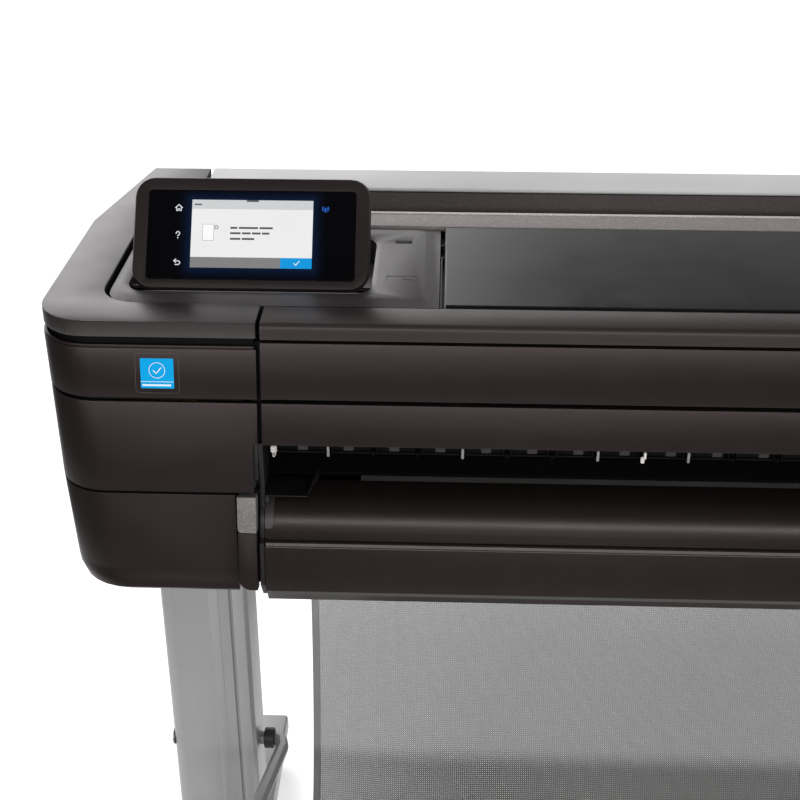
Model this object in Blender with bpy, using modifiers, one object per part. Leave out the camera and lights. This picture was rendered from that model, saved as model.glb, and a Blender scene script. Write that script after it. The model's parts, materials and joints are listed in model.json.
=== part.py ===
"""Large format plotter on a wheeled stand, with a roll feed and a media bin.

Metres, +Z up, X to the right along the carriage travel, front towards -Y.
The origin is on the floor, at the centre of the machine.
"""
import math

import bmesh
import bpy
from mathutils import Matrix, Vector

# Clearances and wall thickness
TOUCH = 0.0003
WALL = 0.0025
SEAM = 0.003

# Overall shape of the printing head
TOP_Z = 0.890
CAP_Z = 0.877
HALF_WIDTH = 0.7015
CAP_FRONT_Y = -0.208
CAP_REAR_Y = 0.147
CORNER_R = 0.041
CHAMFER_START_Y = 0.0025
CHAMFER_IN = 0.0265

# Front face, which leans forward towards its bottom
FACE_Y = -0.209
FACE_LEAN = math.radians(12.0)
FACE_TURN_Z = 0.6872
COLUMN_BOTTOM_Z = 0.671
BOTTOM_EDGE_R = 0.006
RECESS_TOP_Z = 0.7560
RECESS_DEPTH = 0.009
LIP_SLOPE = 0.30

# Outer side of the end columns
SIDE_TOP_X = 0.7020
SIDE_TOP_Z = 0.875
SIDE_TAPER = 0.080
SIDE_ROUND_Z = 0.690
SIDE_ROUND_X = 0.009

# Horizontal seams of the covers, from the top down
UPPER_TOP_Z = 0.8747
COLUMN_TOP_Z = 0.8693
UPPER_BOTTOM_Z = 0.8315
MIDDLE_TOP_Z = 0.8285
MIDDLE_BOTTOM_Z = 0.7580
LOWER_TOP_Z = 0.7560
SLOT_TOP_Z = 0.796
SIDE_SPLIT_Y = -0.1865

# Width of the centre section and of the columns' inner ends
CENTRE_X = 0.529
COLUMN_IN_X = 0.532
LATCH_OUT_X = 0.5497
LOWER_IN_X = 0.5505
NOTCH_X = 0.5358
NOTCH_TOP_Z = 0.7960
PLATE_IN_X = 0.537
PLATE_OUT_X = 0.540
SHAFT_X = 0.5365

# Console deck and the control panel that folds into it
DECK_X0 = -0.655
DECK_X1 = -0.3955
DECK_Y0 = -0.169
DECK_Y1 = -0.003
DECK_TOP_Z = 0.8885
DECK_RIM_Z = 0.8868
DECK_BOTTOM_Z = 0.8625
ISLAND_X1 = -0.4030
ISLAND_Y1 = -0.0050
ISLAND_SLOPE = 0.0045
ISLAND_FRONT_SLOPE = 0.0085
POCKET_FLOOR_Z = 0.866
POCKET_SHELF_Z = 0.8871     # foot of the shallow slopes at the two ends of the recess
POCKET_X0 = -0.6530
POCKET_X1 = -0.4450
POCKET_Y0 = -0.147
POCKET_Y1 = -0.022
PANEL_TILT = math.radians(36.0)
PANEL_W = 0.190
PANEL_H = 0.0925
PANEL_T = 0.016
PANEL_CENTRE_X = -0.546
PANEL_HINGE_Y = -0.1231
PANEL_HINGE_Z = 0.8810
PANEL_HINGE_UP = 0.004
PANEL_HINGE_BACK = 0.0125
PANEL_PIN_R = 0.0022
GLASS_W = 0.1665
GLASS_H = 0.0736
GLASS_RISE = -0.0015

# Window
WINDOW_X0 = -0.3915
WINDOW_X1 = 0.5285
WINDOW_Y0 = -0.1693
WINDOW_Y1 = -0.003
WINDOW_BORDER = 0.015

# Paper path
PLATEN_Z = 0.7655
ROLL_Y = -0.141
ROLL_Z = 0.703
ROLL_R = 0.0445
ROLL_HALF = 0.4572
SPINDLE_R = 0.0120
FEED_Y = -0.070
FEED_Z = 0.7545
FEED_R = 0.0105
PINCH_R = 0.005
STAR_Y = -0.196
STAR_Z = 0.7735
STAR_R = 0.0055
STAR_X0 = -0.4803
STAR_PITCH = 0.035
STAR_COUNT = 28

# Roll cover
COVER_TOP_Z = 0.750
COVER_TURN_Z = 0.697
COVER_ROUND_Y = -0.206
COVER_R = 0.032
COVER_HINGE_Y = -0.190
COVER_HINGE_Z = 0.6515

# Carriage drive
CARRIAGE_X0 = 0.530
CARRIAGE_X1 = 0.660
PULLEY_Z = 0.830
PULLEY_Y = -0.038
PULLEY_R = 0.011
DRIVE_PULLEY_X = 0.652
IDLER_PULLEY_X = -0.515

# Ink cartridges
CARTRIDGE_W = 0.029
CARTRIDGE_PITCH = 0.0325
CARTRIDGE_X0 = -0.6775

# Stand
LEG_X0 = 0.582
LEG_X1 = 0.674
LEG_HALF_Y = 0.030
LEG_BOTTOM_Z = 0.0952
FOOT_HALF_Y = 0.2915
FOOT_BOTTOM_Z = 0.056
FOOT_TOP_Z = 0.095
FOOT_X0 = 0.592
FOOT_X1 = 0.651
CASTER_Y = 0.250
CASTER_TRAIL = 0.012
WHEEL_R = 0.025
ROD_R = 0.007
BIN_HALF_X = 0.523
BIN_ROD_Y = 0.018
BIN_ROD_Z = 0.600
BIN_FRONT_Y = -0.250
BIN_FRONT_Z = 0.420
BIN_LOW_Z = 0.215
BIN_T = 0.003


# ---------------------------------------------------------------- helpers

def clear_scene():
    for item in list(bpy.data.objects):
        bpy.data.objects.remove(item, do_unlink=True)


def make_collection(name):
    group = bpy.data.collections.new(name)
    bpy.context.scene.collection.children.link(group)
    return group


def material(name, colour, roughness, metallic=0.0):
    mat = bpy.data.materials.new(name)
    mat.use_nodes = True
    shader = mat.node_tree.nodes["Principled BSDF"]
    shader.inputs["Base Color"].default_value = (*colour, 1.0)
    shader.inputs["Roughness"].default_value = roughness
    shader.inputs["Metallic"].default_value = metallic
    mat.diffuse_color = (*colour, 1.0)
    return mat


def link(name, mesh, finish):
    item = bpy.data.objects.new(name, mesh)
    PARTS.objects.link(item)
    mesh.materials.clear()
    mesh.materials.append(material(name, *finish))
    return item


def mesh_from(bm, name):
    bmesh.ops.remove_doubles(bm, verts=bm.verts, dist=1e-6)
    bmesh.ops.recalc_face_normals(bm, faces=bm.faces)
    mesh = bpy.data.meshes.new(name)
    bm.to_mesh(mesh)
    bm.free()
    return mesh


def set_origin(item, point):
    """Put the object's origin on a joint's axis, leaving its shape in place."""
    offset = Vector(point)
    item.data.transform(Matrix.Translation(-offset))
    item.location = offset


def box_mesh(lo, hi, bevel=0.0):
    bm = bmesh.new()
    bmesh.ops.create_cube(bm, size=1.0)
    size = Vector(hi) - Vector(lo)
    middle = (Vector(hi) + Vector(lo)) / 2
    bmesh.ops.scale(bm, vec=size, verts=bm.verts)
    if bevel:
        bmesh.ops.bevel(bm, geom=bm.edges[:], offset=bevel, segments=2, affect="EDGES")
    bmesh.ops.translate(bm, vec=middle, verts=bm.verts)
    return mesh_from(bm, "box")


def box(name, lo, hi, finish, bevel=0.0):
    return link(name, box_mesh(lo, hi, bevel), finish)


AXIS_FRAMES = {
    "X": Matrix(((0, 0, 1), (1, 0, 0), (0, 1, 0))),
    "Y": Matrix(((1, 0, 0), (0, 0, -1), (0, 1, 0))),
    "Z": Matrix.Identity(3),
}


def plate_mesh(outlines, axis, lo, hi):
    """Flat outline, or outline with holes, between lo and hi along an axis.

    Points are (Y, Z) for an X axis, (X, Z) for a Y axis and (X, Y) for Z.
    """
    curve = bpy.data.curves.new("outline", "CURVE")
    curve.dimensions = "2D"
    curve.fill_mode = "BOTH"
    curve.extrude = (hi - lo) / 2
    for outline in outlines:
        spline = curve.splines.new("POLY")
        spline.points.add(len(outline) - 1)
        for point, (u, v) in zip(spline.points, outline):
            point.co = (u, v, 0.0, 1.0)
        spline.use_cyclic_u = True
    frame = AXIS_FRAMES[axis].to_4x4()
    shift = AXIS_FRAMES[axis] @ Vector((0, 0, 1))
    sign = sum(shift)
    return curve_mesh(curve, Matrix.Translation(shift * sign * (lo + hi) / 2) @ frame)


def curve_mesh(curve, matrix=None):
    temp = bpy.data.objects.new("temp", curve)
    bpy.context.scene.collection.objects.link(temp)
    graph = bpy.context.evaluated_depsgraph_get()
    mesh = bpy.data.meshes.new_from_object(temp.evaluated_get(graph))
    bpy.data.objects.remove(temp, do_unlink=True)
    bm = bmesh.new()
    bm.from_mesh(mesh)
    if matrix:
        bm.transform(matrix)
    return mesh_from(bm, "outline")


def plate(name, outline, axis, lo, hi, finish, holes=()):
    return link(name, plate_mesh([outline, *holes], axis, lo, hi), finish)


def arc(cx, cy, radius, start, end, steps=6, radius_y=None):
    ry = radius if radius_y is None else radius_y
    points = []
    for i in range(steps + 1):
        angle = math.radians(start + (end - start) * i / steps)
        points.append((cx + radius * math.cos(angle), cy + ry * math.sin(angle)))
    return points


def rounded_rect(x0, y0, x1, y1, r, steps=4):
    return (arc(x0 + r, y0 + r, r, 180, 270, steps) + arc(x1 - r, y0 + r, r, 270, 360, steps)
            + arc(x1 - r, y1 - r, r, 0, 90, steps) + arc(x0 + r, y1 - r, r, 90, 180, steps))


def loft_mesh(rings):
    """Solid through matching closed rings, capped at both ends."""
    bm = bmesh.new()
    rows = [[bm.verts.new(point) for point in ring] for ring in rings]
    count = len(rows[0])
    for low, high in zip(rows, rows[1:]):
        for i in range(count):
            j = (i + 1) % count
            bm.faces.new((low[i], low[j], high[j], high[i]))
    bm.faces.new(list(reversed(rows[0])))
    bm.faces.new(rows[-1])
    return mesh_from(bm, "loft")


def turned_mesh(profile, segments):
    """Screw a (radius, height) profile, top to bottom, about the Z axis."""
    bm = bmesh.new()
    verts = [bm.verts.new((r, 0.0, h)) for r, h in profile]
    for a, b in zip(verts, verts[1:]):
        bm.edges.new((a, b))
    mesh = bpy.data.meshes.new("profile")
    bm.to_mesh(mesh)
    bm.free()
    temp = bpy.data.objects.new("temp", mesh)
    bpy.context.scene.collection.objects.link(temp)
    screw = temp.modifiers.new("Screw", "SCREW")
    screw.steps = segments
    screw.render_steps = segments
    screw.use_merge_vertices = True
    screw.merge_threshold = 0.00005
    graph = bpy.context.evaluated_depsgraph_get()
    result = bpy.data.meshes.new_from_object(temp.evaluated_get(graph))
    bpy.data.objects.remove(temp, do_unlink=True)
    return result


def turned(name, profile, centre, axis, finish, segments=24):
    """Turned piece, its profile height measured along the axis."""
    mesh = turned_mesh(profile, segments)
    bm = bmesh.new()
    bm.from_mesh(mesh)
    turn = {"X": Matrix.Rotation(math.pi / 2, 4, "Y"), "Y": Matrix.Rotation(-math.pi / 2, 4, "X"),
            "Z": Matrix.Identity(4)}[axis]
    bm.transform(turn)
    mesh = mesh_from(bm, name)
    mesh.shade_smooth()
    mesh.set_sharp_from_angle(angle=math.radians(35))
    item = link(name, mesh, finish)
    item.location = centre
    return item


def rod_mesh(radius, lo, hi, axis, centre, segments=16):
    """Straight round bar from lo to hi along an axis through the centre."""
    bm = bmesh.new()
    bmesh.ops.create_cone(bm, cap_ends=True, segments=segments, radius1=radius, radius2=radius,
                          depth=hi - lo)
    turn = {"X": Matrix.Rotation(math.pi / 2, 4, "Y"), "Y": Matrix.Rotation(-math.pi / 2, 4, "X"),
            "Z": Matrix.Identity(4)}[axis]
    step = {"X": Vector((1, 0, 0)), "Y": Vector((0, 1, 0)), "Z": Vector((0, 0, 1))}[axis]
    bm.transform(Matrix.Translation(Vector(centre) + step * (lo + hi) / 2) @ turn)
    return mesh_from(bm, "rod")


def smooth(item, angle=35):
    item.data.shade_smooth()
    item.data.set_sharp_from_angle(angle=math.radians(angle))
    return item


def combine(item, mesh, operation="DIFFERENCE"):
    """Cut or join a solid with another one, which stays in the cutters' collection."""
    tool = bpy.data.objects.new(item.name + "_tool", mesh)
    CUTTERS.objects.link(tool)
    tool.hide_render = True
    tool.display_type = "WIRE"
    modifier = item.modifiers.new(operation.title(), "BOOLEAN")
    modifier.operation = operation
    modifier.solver = "EXACT"
    modifier.object = tool
    return item


def mirrored(points, side):
    """Mirror an outline's X values for side +1 or keep them for -1."""
    return [(-x, y) for x, y in points] if side > 0 else list(points)


# ---------------------------------------------------------------- finishes

DARK = ((0.030, 0.022, 0.021), 0.35, 0.2)
DARKER = ((0.012, 0.010, 0.010), 0.5)
BRONZE = ((0.30, 0.27, 0.25), 0.42, 0.5)
DECK = ((0.13, 0.115, 0.11), 0.42, 0.4)
GREY = ((0.28, 0.28, 0.28), 0.4, 0.3)
PALE = ((0.62, 0.62, 0.62), 0.45)
STEEL = ((0.5, 0.5, 0.5), 0.3, 1.0)
BLACK = ((0.01, 0.01, 0.01), 0.4)
RUBBER = ((0.02, 0.02, 0.02), 0.8)
GLASS = ((0.02, 0.02, 0.02), 0.08)
PAPER = ((0.85, 0.85, 0.83), 0.8)
MESH = ((0.30, 0.30, 0.30), 0.8)
INK_COLOURS = {
    "cyan": ((0.0, 0.30, 0.55), 0.4),
    "magenta": ((0.55, 0.02, 0.20), 0.4),
    "yellow": ((0.75, 0.55, 0.02), 0.4),
    "black": ((0.02, 0.02, 0.02), 0.4),
}


# ---------------------------------------------------------------- stand

def leg_outline():
    """Half-round outer part, a shallow groove and a flatter inner part."""
    y = LEG_HALF_Y
    groove_out = LEG_X0 + 0.0185
    groove_in = LEG_X0 + 0.0155
    outer = arc(LEG_X1 - 0.030, 0, 0.030, -90, 90, 10, y)
    return ([(LEG_X0, -y + 0.004), (LEG_X0 + 0.004, -y), (groove_in, -y), (groove_in, -y + 0.003),
             (groove_out, -y + 0.003), (groove_out, -y)] + outer
            + [(groove_out, y), (groove_out, y - 0.003), (groove_in, y - 0.003), (groove_in, y),
               (LEG_X0 + 0.004, y), (LEG_X0, y - 0.004)])


def build_leg(name, side):
    plate(name, mirrored(leg_outline(), -side), "Z", LEG_BOTTOM_Z, COLUMN_BOTTOM_Z - TOUCH, GREY)


def build_foot(name, side):
    y = FOOT_HALF_Y
    profile = [(-y, FOOT_BOTTOM_Z), (y, FOOT_BOTTOM_Z)]
    profile += arc(y - 0.014, FOOT_BOTTOM_Z + 0.014, 0.014, 0, 70, 4)
    profile += [(0.060, FOOT_TOP_Z), (-0.060, FOOT_TOP_Z)]
    profile += arc(-y + 0.014, FOOT_BOTTOM_Z + 0.014, 0.014, 110, 180, 4)
    lo, hi = sorted((side * FOOT_X0, side * FOOT_X1))
    plate(name, profile, "X", lo, hi, GREY)


def build_caster(name, side, end):
    """Twin wheel on an axle through a web, under a swivel plate."""
    x = side * (FOOT_X0 + FOOT_X1) / 2
    y = end * CASTER_Y
    wheel_y = y + CASTER_TRAIL
    web = [(y - 0.014, 0.0500), (y - 0.014, 0.0535), (y + 0.016, 0.0535)]
    web += arc(wheel_y, WHEEL_R, 0.0105, 30, -150, 8)
    hole = arc(wheel_y, WHEEL_R, 0.0048, 0, 330, 11)
    fork = plate(name + "_fork", web, "X", x - 0.0045, x + 0.0045, BLACK, [hole])
    combine(fork, rod_mesh(0.0165, 0.0515, FOOT_BOTTOM_Z - TOUCH, "Z", (x, y, 0), 20), "UNION")
    set_origin(fork, (x, y, 0.0))
    r = WHEEL_R
    profile = [(0, 0.019), (r - 0.003, 0.019), (r, 0.016), (r, 0.0085), (r - 0.002, 0.0065),
               (0.0042, 0.0065), (0.0042, -0.0065), (r - 0.002, -0.0065), (r, -0.0085),
               (r, -0.016), (r - 0.003, -0.019), (0, -0.019)]
    turned(name + "_wheel", profile, (x, wheel_y, r), "X", RUBBER, 20)


def build_bin():
    """Sling of mesh cloth between a rear rod and a front frame."""
    mesh = rod_mesh(ROD_R, -LEG_X0 + TOUCH, LEG_X0 - TOUCH, "X", (0, BIN_ROD_Y, BIN_ROD_Z), 12)
    smooth(link("bin_rear_rod", mesh, GREY))
    curve = bpy.data.curves.new("frame", "CURVE")
    curve.dimensions = "3D"
    curve.bevel_depth = ROD_R
    curve.bevel_resolution = 2
    curve.use_fill_caps = True
    arm_x = 0.556
    half = [(LEG_X0 - TOUCH, 0.0, 0.300), (arm_x + 0.009, 0.0, 0.300), (arm_x + 0.003, -0.006, 0.301),
            (arm_x, -0.022, 0.3055),
            (arm_x, BIN_FRONT_Y + 0.030, BIN_FRONT_Z - 0.014),
            (arm_x - 0.006, BIN_FRONT_Y + 0.008, BIN_FRONT_Z - 0.003),
            (arm_x - 0.022, BIN_FRONT_Y, BIN_FRONT_Z)]
    route = [(-x, y, z) for x, y, z in half] + half[::-1]
    spline = curve.splines.new("POLY")
    spline.points.add(len(route) - 1)
    for point, place in zip(spline.points, route):
        point.co = (*place, 1.0)
    smooth(link("bin_front_frame", curve_mesh(curve), GREY))

    rear = (BIN_ROD_Y, BIN_ROD_Z - ROD_R - 0.0015)
    front = (BIN_FRONT_Y + 0.002, BIN_FRONT_Z - ROD_R - 0.0035)
    middle = bin_curve(rear, front)
    inner = [offset_point(middle, i, BIN_T / 2) for i in range(len(middle))]
    outer = [offset_point(middle, i, -BIN_T / 2) for i in range(len(middle))]
    plate("bin_fabric", inner + outer[::-1], "X", -BIN_HALF_X, BIN_HALF_X, MESH)


def bin_curve(rear, front, steps=14):
    """Cubic curve from the rear rod down and up to the front rod."""
    pull_rear = (rear[0] - 0.010, BIN_LOW_Z - 0.18)
    pull_front = (front[0] + 0.030, BIN_LOW_Z - 0.06)
    points = []
    for i in range(steps + 1):
        t = i / steps
        s = 1 - t
        weights = (s ** 3, 3 * s * s * t, 3 * s * t * t, t ** 3)
        ends = (rear, pull_rear, pull_front, front)
        points.append(tuple(sum(w * p[k] for w, p in zip(weights, ends)) for k in (0, 1)))
    return points


def offset_point(points, i, distance):
    a = Vector(points[max(i - 1, 0)])
    b = Vector(points[min(i + 1, len(points) - 1)])
    along = (b - a).normalized()
    here = Vector(points[i]) + Vector((-along.y, along.x)) * distance
    return (here.x, here.y)


def build_stand():
    for side, word in ((-1, "left"), (1, "right")):
        build_leg("leg_" + word, side)
        build_foot("foot_" + word, side)
        for end, place in ((-1, "front"), (1, "rear")):
            build_caster(f"caster_{place}_{word}", side, end)
    box("cross_brace", (-LEG_X0 + TOUCH, -0.016, 0.120), (LEG_X0 - TOUCH, 0.016, 0.185), GREY, 0.003)
    build_bin()


# ---------------------------------------------------------------- end columns

def lean_y(z):
    """Y of the leaning front plane at a height."""
    return FACE_Y - (CAP_Z - z) * math.tan(FACE_LEAN)


def face_y(z):
    """Column's front face: the leaning plane, sunk towards a crease, then a lip with a round edge."""
    if z >= RECESS_TOP_Z:
        return lean_y(z)
    sunk = RECESS_DEPTH * (RECESS_TOP_Z - z) / (RECESS_TOP_Z - FACE_TURN_Z)
    if z >= FACE_TURN_Z:
        return lean_y(z) + sunk
    front = lean_y(FACE_TURN_Z) + RECESS_DEPTH - (FACE_TURN_Z - z) * LIP_SLOPE
    drop = (COLUMN_BOTTOM_Z + BOTTOM_EDGE_R - z) / BOTTOM_EDGE_R
    if drop > 0:
        front += BOTTOM_EDGE_R * (1 - math.sqrt(max(0.0, 1 - drop * drop)))
    return front


def side_x(z):
    """Outer side's distance from the middle at a height."""
    out = SIDE_TOP_X - (SIDE_TOP_Z - z) * SIDE_TAPER
    if z < SIDE_ROUND_Z:
        drop = (SIDE_ROUND_Z - z) / (SIDE_ROUND_Z - COLUMN_BOTTOM_Z)
        out -= SIDE_ROUND_X * (1 - math.sqrt(max(0.0, 1 - drop * drop)))
    return out


def column_line(z, inset, inner_x):
    """Plan line along the front, round the corner and back along the side."""
    front = face_y(z) + inset
    side = side_x(z) - inset
    r = CORNER_R - inset
    corner = arc(side - r, front + r, r, -90, 0, 7)
    return ([(inner_x, front)] + corner
            + [(side, CHAMFER_START_Y), (side - CHAMFER_IN, CAP_REAR_Y - SEAM / 6)])


def column_band(z_levels, inner_x, side):
    rings = []
    for z in z_levels:
        outer = column_line(z, 0.0, inner_x)
        inner = column_line(z, WALL, inner_x)
        rings.append([(side * x, y, z) for x, y in outer + inner[::-1]])
    return loft_mesh(rings)


def build_upper_cover(name, side):
    """Band under the cap, running down the side behind the ink door."""
    item = link(name, column_band((MIDDLE_BOTTOM_Z, COLUMN_TOP_Z), COLUMN_IN_X, side), DARK)
    lo, hi = sorted((side * 0.50, side * 0.80))
    combine(item, box_mesh((lo, -0.30, 0.70), (hi, SIDE_SPLIT_Y, UPPER_BOTTOM_Z)))


def build_middle_cover(name, side):
    """Leaning panel that wraps the front corner, notched beside the output slot."""
    item = link(name, column_band((MIDDLE_BOTTOM_Z, MIDDLE_TOP_Z), COLUMN_IN_X, side), DARK)
    lo, hi = sorted((side * 0.50, side * 0.80))
    combine(item, box_mesh((lo, SIDE_SPLIT_Y - SEAM, 0.70), (hi, 0.30, 0.90)))
    lo, hi = sorted((side * 0.50, side * NOTCH_X))
    combine(item, box_mesh((lo, -0.30, 0.70), (hi, 0.30, NOTCH_TOP_Z)))
    return item


def build_lower_cover(name, side):
    """Tub that closes the column's front, side and underside."""
    turn = COLUMN_BOTTOM_Z
    drops = (1.0, 0.97, 0.85)
    levels = [turn + (SIDE_ROUND_Z - turn) * (1 - d) for d in drops]
    levels += [0.682, FACE_TURN_Z, SIDE_ROUND_Z, 0.730, LOWER_TOP_Z]

    def ring(z, inset, height):
        line = column_line(z, inset, LOWER_IN_X + inset)
        points = line + [(LOWER_IN_X + inset, line[-1][1])]
        return [(side * x, y, height) for x, y in points]

    outer = loft_mesh([ring(z, 0.0, z) for z in levels])
    inside = [ring(z, WALL, z + WALL if z < FACE_TURN_Z else z) for z in levels[1:]]
    inside.append(ring(LOWER_TOP_Z, WALL, LOWER_TOP_Z + 0.01))
    for row in inside:
        for i in (-1, -2):
            x, y, z = row[i]
            row[i] = (x, y - WALL, z)
    item = link(name, outer, DARK)
    combine(item, loft_mesh(inside))


def cap_outline_outer():
    return (arc(HALF_WIDTH - CORNER_R, CAP_FRONT_Y + CORNER_R, CORNER_R, -90, 0, 8)
            + [(HALF_WIDTH, CHAMFER_START_Y), (HALF_WIDTH - CHAMFER_IN, CAP_REAR_Y)])


def build_caps():
    rear_x = 0.6205
    inner_y = DECK_Y1 + 0.0025
    left_x = -DECK_X0 + 0.0035
    left_y = DECK_Y0 - 0.0035
    left = ([(COLUMN_IN_X, left_y), (COLUMN_IN_X, CAP_FRONT_Y)] + cap_outline_outer()
            + [(rear_x, CAP_REAR_Y), (rear_x, inner_y), (left_x, inner_y)]
            + arc(left_x - 0.030, left_y + 0.030, 0.030, 0, -90, 6))
    plate("left_top_cap", mirrored(left, 1), "Z", CAP_Z, TOP_Z, BRONZE)
    right = ([(COLUMN_IN_X, CAP_FRONT_Y)] + cap_outline_outer()
             + [(rear_x, CAP_REAR_Y), (rear_x, inner_y), (COLUMN_IN_X, inner_y)])
    plate("right_top_cap", right, "Z", CAP_Z, TOP_Z, BRONZE)


def build_columns():
    build_caps()
    build_upper_cover("left_upper_cover", -1)
    build_upper_cover("right_upper_cover", 1)
    door = build_middle_cover("ink_door", -1)
    set_origin(door, (-0.6885, -0.195, 0.0))
    build_middle_cover("right_middle_cover", 1)
    build_lower_cover("left_lower_cover", -1)
    build_lower_cover("right_lower_cover", 1)


# ---------------------------------------------------------------- top and front of the centre

def build_front_panels():
    top = lean_y(UPPER_TOP_Z)
    low = lean_y(UPPER_BOTTOM_Z)
    upper = [(top, UPPER_TOP_Z), (low, UPPER_BOTTOM_Z), (low + 0.006, UPPER_BOTTOM_Z),
             (low + 0.006, UPPER_BOTTOM_Z + WALL), (low + 0.0031, UPPER_BOTTOM_Z + WALL),
             (top + WALL, UPPER_TOP_Z - WALL), (-0.185, UPPER_TOP_Z - WALL), (-0.185, UPPER_TOP_Z)]
    plate("front_panel_upper", upper, "X", -CENTRE_X, CENTRE_X, DARK)
    top = lean_y(MIDDLE_TOP_Z)
    low = lean_y(SLOT_TOP_Z)
    lower = [(top, MIDDLE_TOP_Z), (low, SLOT_TOP_Z), (-0.2025, SLOT_TOP_Z),
             (-0.2025, SLOT_TOP_Z + WALL), (low + 0.0031, SLOT_TOP_Z + WALL),
             (top + 0.0021, MIDDLE_TOP_Z - WALL), (top + 0.0065, MIDDLE_TOP_Z - WALL),
             (top + 0.0065, MIDDLE_TOP_Z)]
    plate("front_panel_lower", lower, "X", -CENTRE_X, CENTRE_X, DARK)


def build_window():
    """Lid with a full-width front lip and a dark sheet over the carriage."""
    front = -0.2085
    lip = ([(-0.1756, 0.8895)] + arc(front + 0.0045, 0.885, 0.0045, 90, 180, 4)
           + [(-0.2092, CAP_Z), (-0.190, CAP_Z), (-0.186, 0.880), (-0.1756, 0.880)])
    frame = plate("window_frame", lip, "X", -CENTRE_X, CENTRE_X, DARK)
    x0, x1, y0, y1, b = WINDOW_X0, WINDOW_X1, WINDOW_Y0, WINDOW_Y1, WINDOW_BORDER
    outline = [(x0, -0.178), (x1, -0.178), (x1, y1), (x0, y1)]
    hole = [(x0 + b, y0 + b), (x1 - b, y0 + b), (x1 - b, y1 - b), (x0 + b, y1 - b)]
    ring = plate_mesh([outline, hole], "Z", 0.8805, 0.8872)
    combine(frame, ring, "UNION")
    set_origin(frame, (0.0, y1, 0.8895))
    glass = box("window_glass", (x0 + 0.001, y0 + 0.001, 0.8875), (x1 - 0.001, y1 - 0.001, 0.8895), GLASS)
    set_origin(glass, (0.0, y1, 0.8895))


def island_ring(inset, front_inset, z):
    """Outline of the raised island, with a wide corner next to the cap's own corner."""
    x0, x1 = DECK_X0 + 0.0004 + inset, ISLAND_X1 - inset
    y0, y1 = DECK_Y0 + 0.0010 + front_inset, ISLAND_Y1 - inset * 0.6
    wide = 0.0265 - inset / 2
    r = 0.012 - inset / 2
    points = (arc(x0 + wide, y0 + wide, wide, 180, 270, 6) + arc(x1 - r, y0 + r, r, 270, 360, 4)
              + arc(x1 - r, y1 - r, r, 0, 90, 4) + arc(x0 + 0.004, y1 - 0.004, 0.004, 90, 180, 2))
    return [(x, y, z) for x, y in points]


def pocket_ring(inward, depth, z):
    """Outline of the recess: its end walls drawn in by one share and its long walls by another."""
    points = rounded_rect(POCKET_X0 + 0.0110 * inward, POCKET_Y0 + 0.004 * depth,
                          POCKET_X1 - 0.0050 * inward, POCKET_Y1 - 0.006 * depth,
                          0.020 - 0.008 * depth, 5)
    return [(x, y, z) for x, y in points]


def build_console():
    """Deck with a raised island that holds the recess of the control panel."""
    deck = box("console_deck", (DECK_X0, DECK_Y0, DECK_BOTTOM_Z), (DECK_X1, DECK_Y1, DECK_RIM_Z), DECK)
    around = rounded_rect(DECK_X0 - 0.05, DECK_Y0 - 0.05, DECK_X1 + 0.05, DECK_Y1 + 0.05, 0.001, 1)
    keep = (arc(DECK_X0 + 0.0265, DECK_Y0 + 0.0265, 0.0265, 180, 270, 6)
            + [(DECK_X1 + 0.01, DECK_Y0), (DECK_X1 + 0.01, DECK_Y1 + 0.01), (DECK_X0, DECK_Y1 + 0.01)])
    combine(deck, plate_mesh([around, keep], "Z", DECK_BOTTOM_Z - 0.01, DECK_TOP_Z + 0.01))
    island = loft_mesh([island_ring(0.0, 0.0, DECK_BOTTOM_Z + 0.004), island_ring(0.0, 0.0, DECK_RIM_Z),
                        island_ring(ISLAND_SLOPE, ISLAND_FRONT_SLOPE, DECK_TOP_Z)])
    combine(deck, island, "UNION")
    combine(deck, loft_mesh([pocket_ring(1.0, 1.0, POCKET_FLOOR_Z), pocket_ring(0.9, 0.08, POCKET_SHELF_Z),
                             pocket_ring(0.0, 0.0, DECK_TOP_Z), pocket_ring(-0.1, -0.1, DECK_TOP_Z + 0.01)]))
    combine(deck, box_mesh((-0.4337, -0.0400, DECK_TOP_Z - 0.014), (-0.4197, -0.0335, DECK_TOP_Z + 0.01)))
    reach = PANEL_W / 2 + 0.0125
    combine(deck, rod_mesh(PANEL_PIN_R + 0.0004, PANEL_CENTRE_X - reach, PANEL_CENTRE_X + reach, "X",
                           (0, PANEL_HINGE_Y, PANEL_HINGE_Z), 16))


def panel_matrix():
    """Place of the panel: local X right, local Y up the face, local Z out of the face."""
    up = Vector((0, math.sin(PANEL_TILT), math.cos(PANEL_TILT)))
    out = Vector((0, -math.cos(PANEL_TILT), math.sin(PANEL_TILT)))
    hinge = Vector((PANEL_CENTRE_X, PANEL_HINGE_Y, PANEL_HINGE_Z))
    centre = hinge + up * (PANEL_H / 2 - PANEL_HINGE_UP) + out * PANEL_HINGE_BACK
    turn = Matrix((Vector((1, 0, 0)), up, out)).transposed().to_4x4()
    return Matrix.Translation(centre) @ turn


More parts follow.
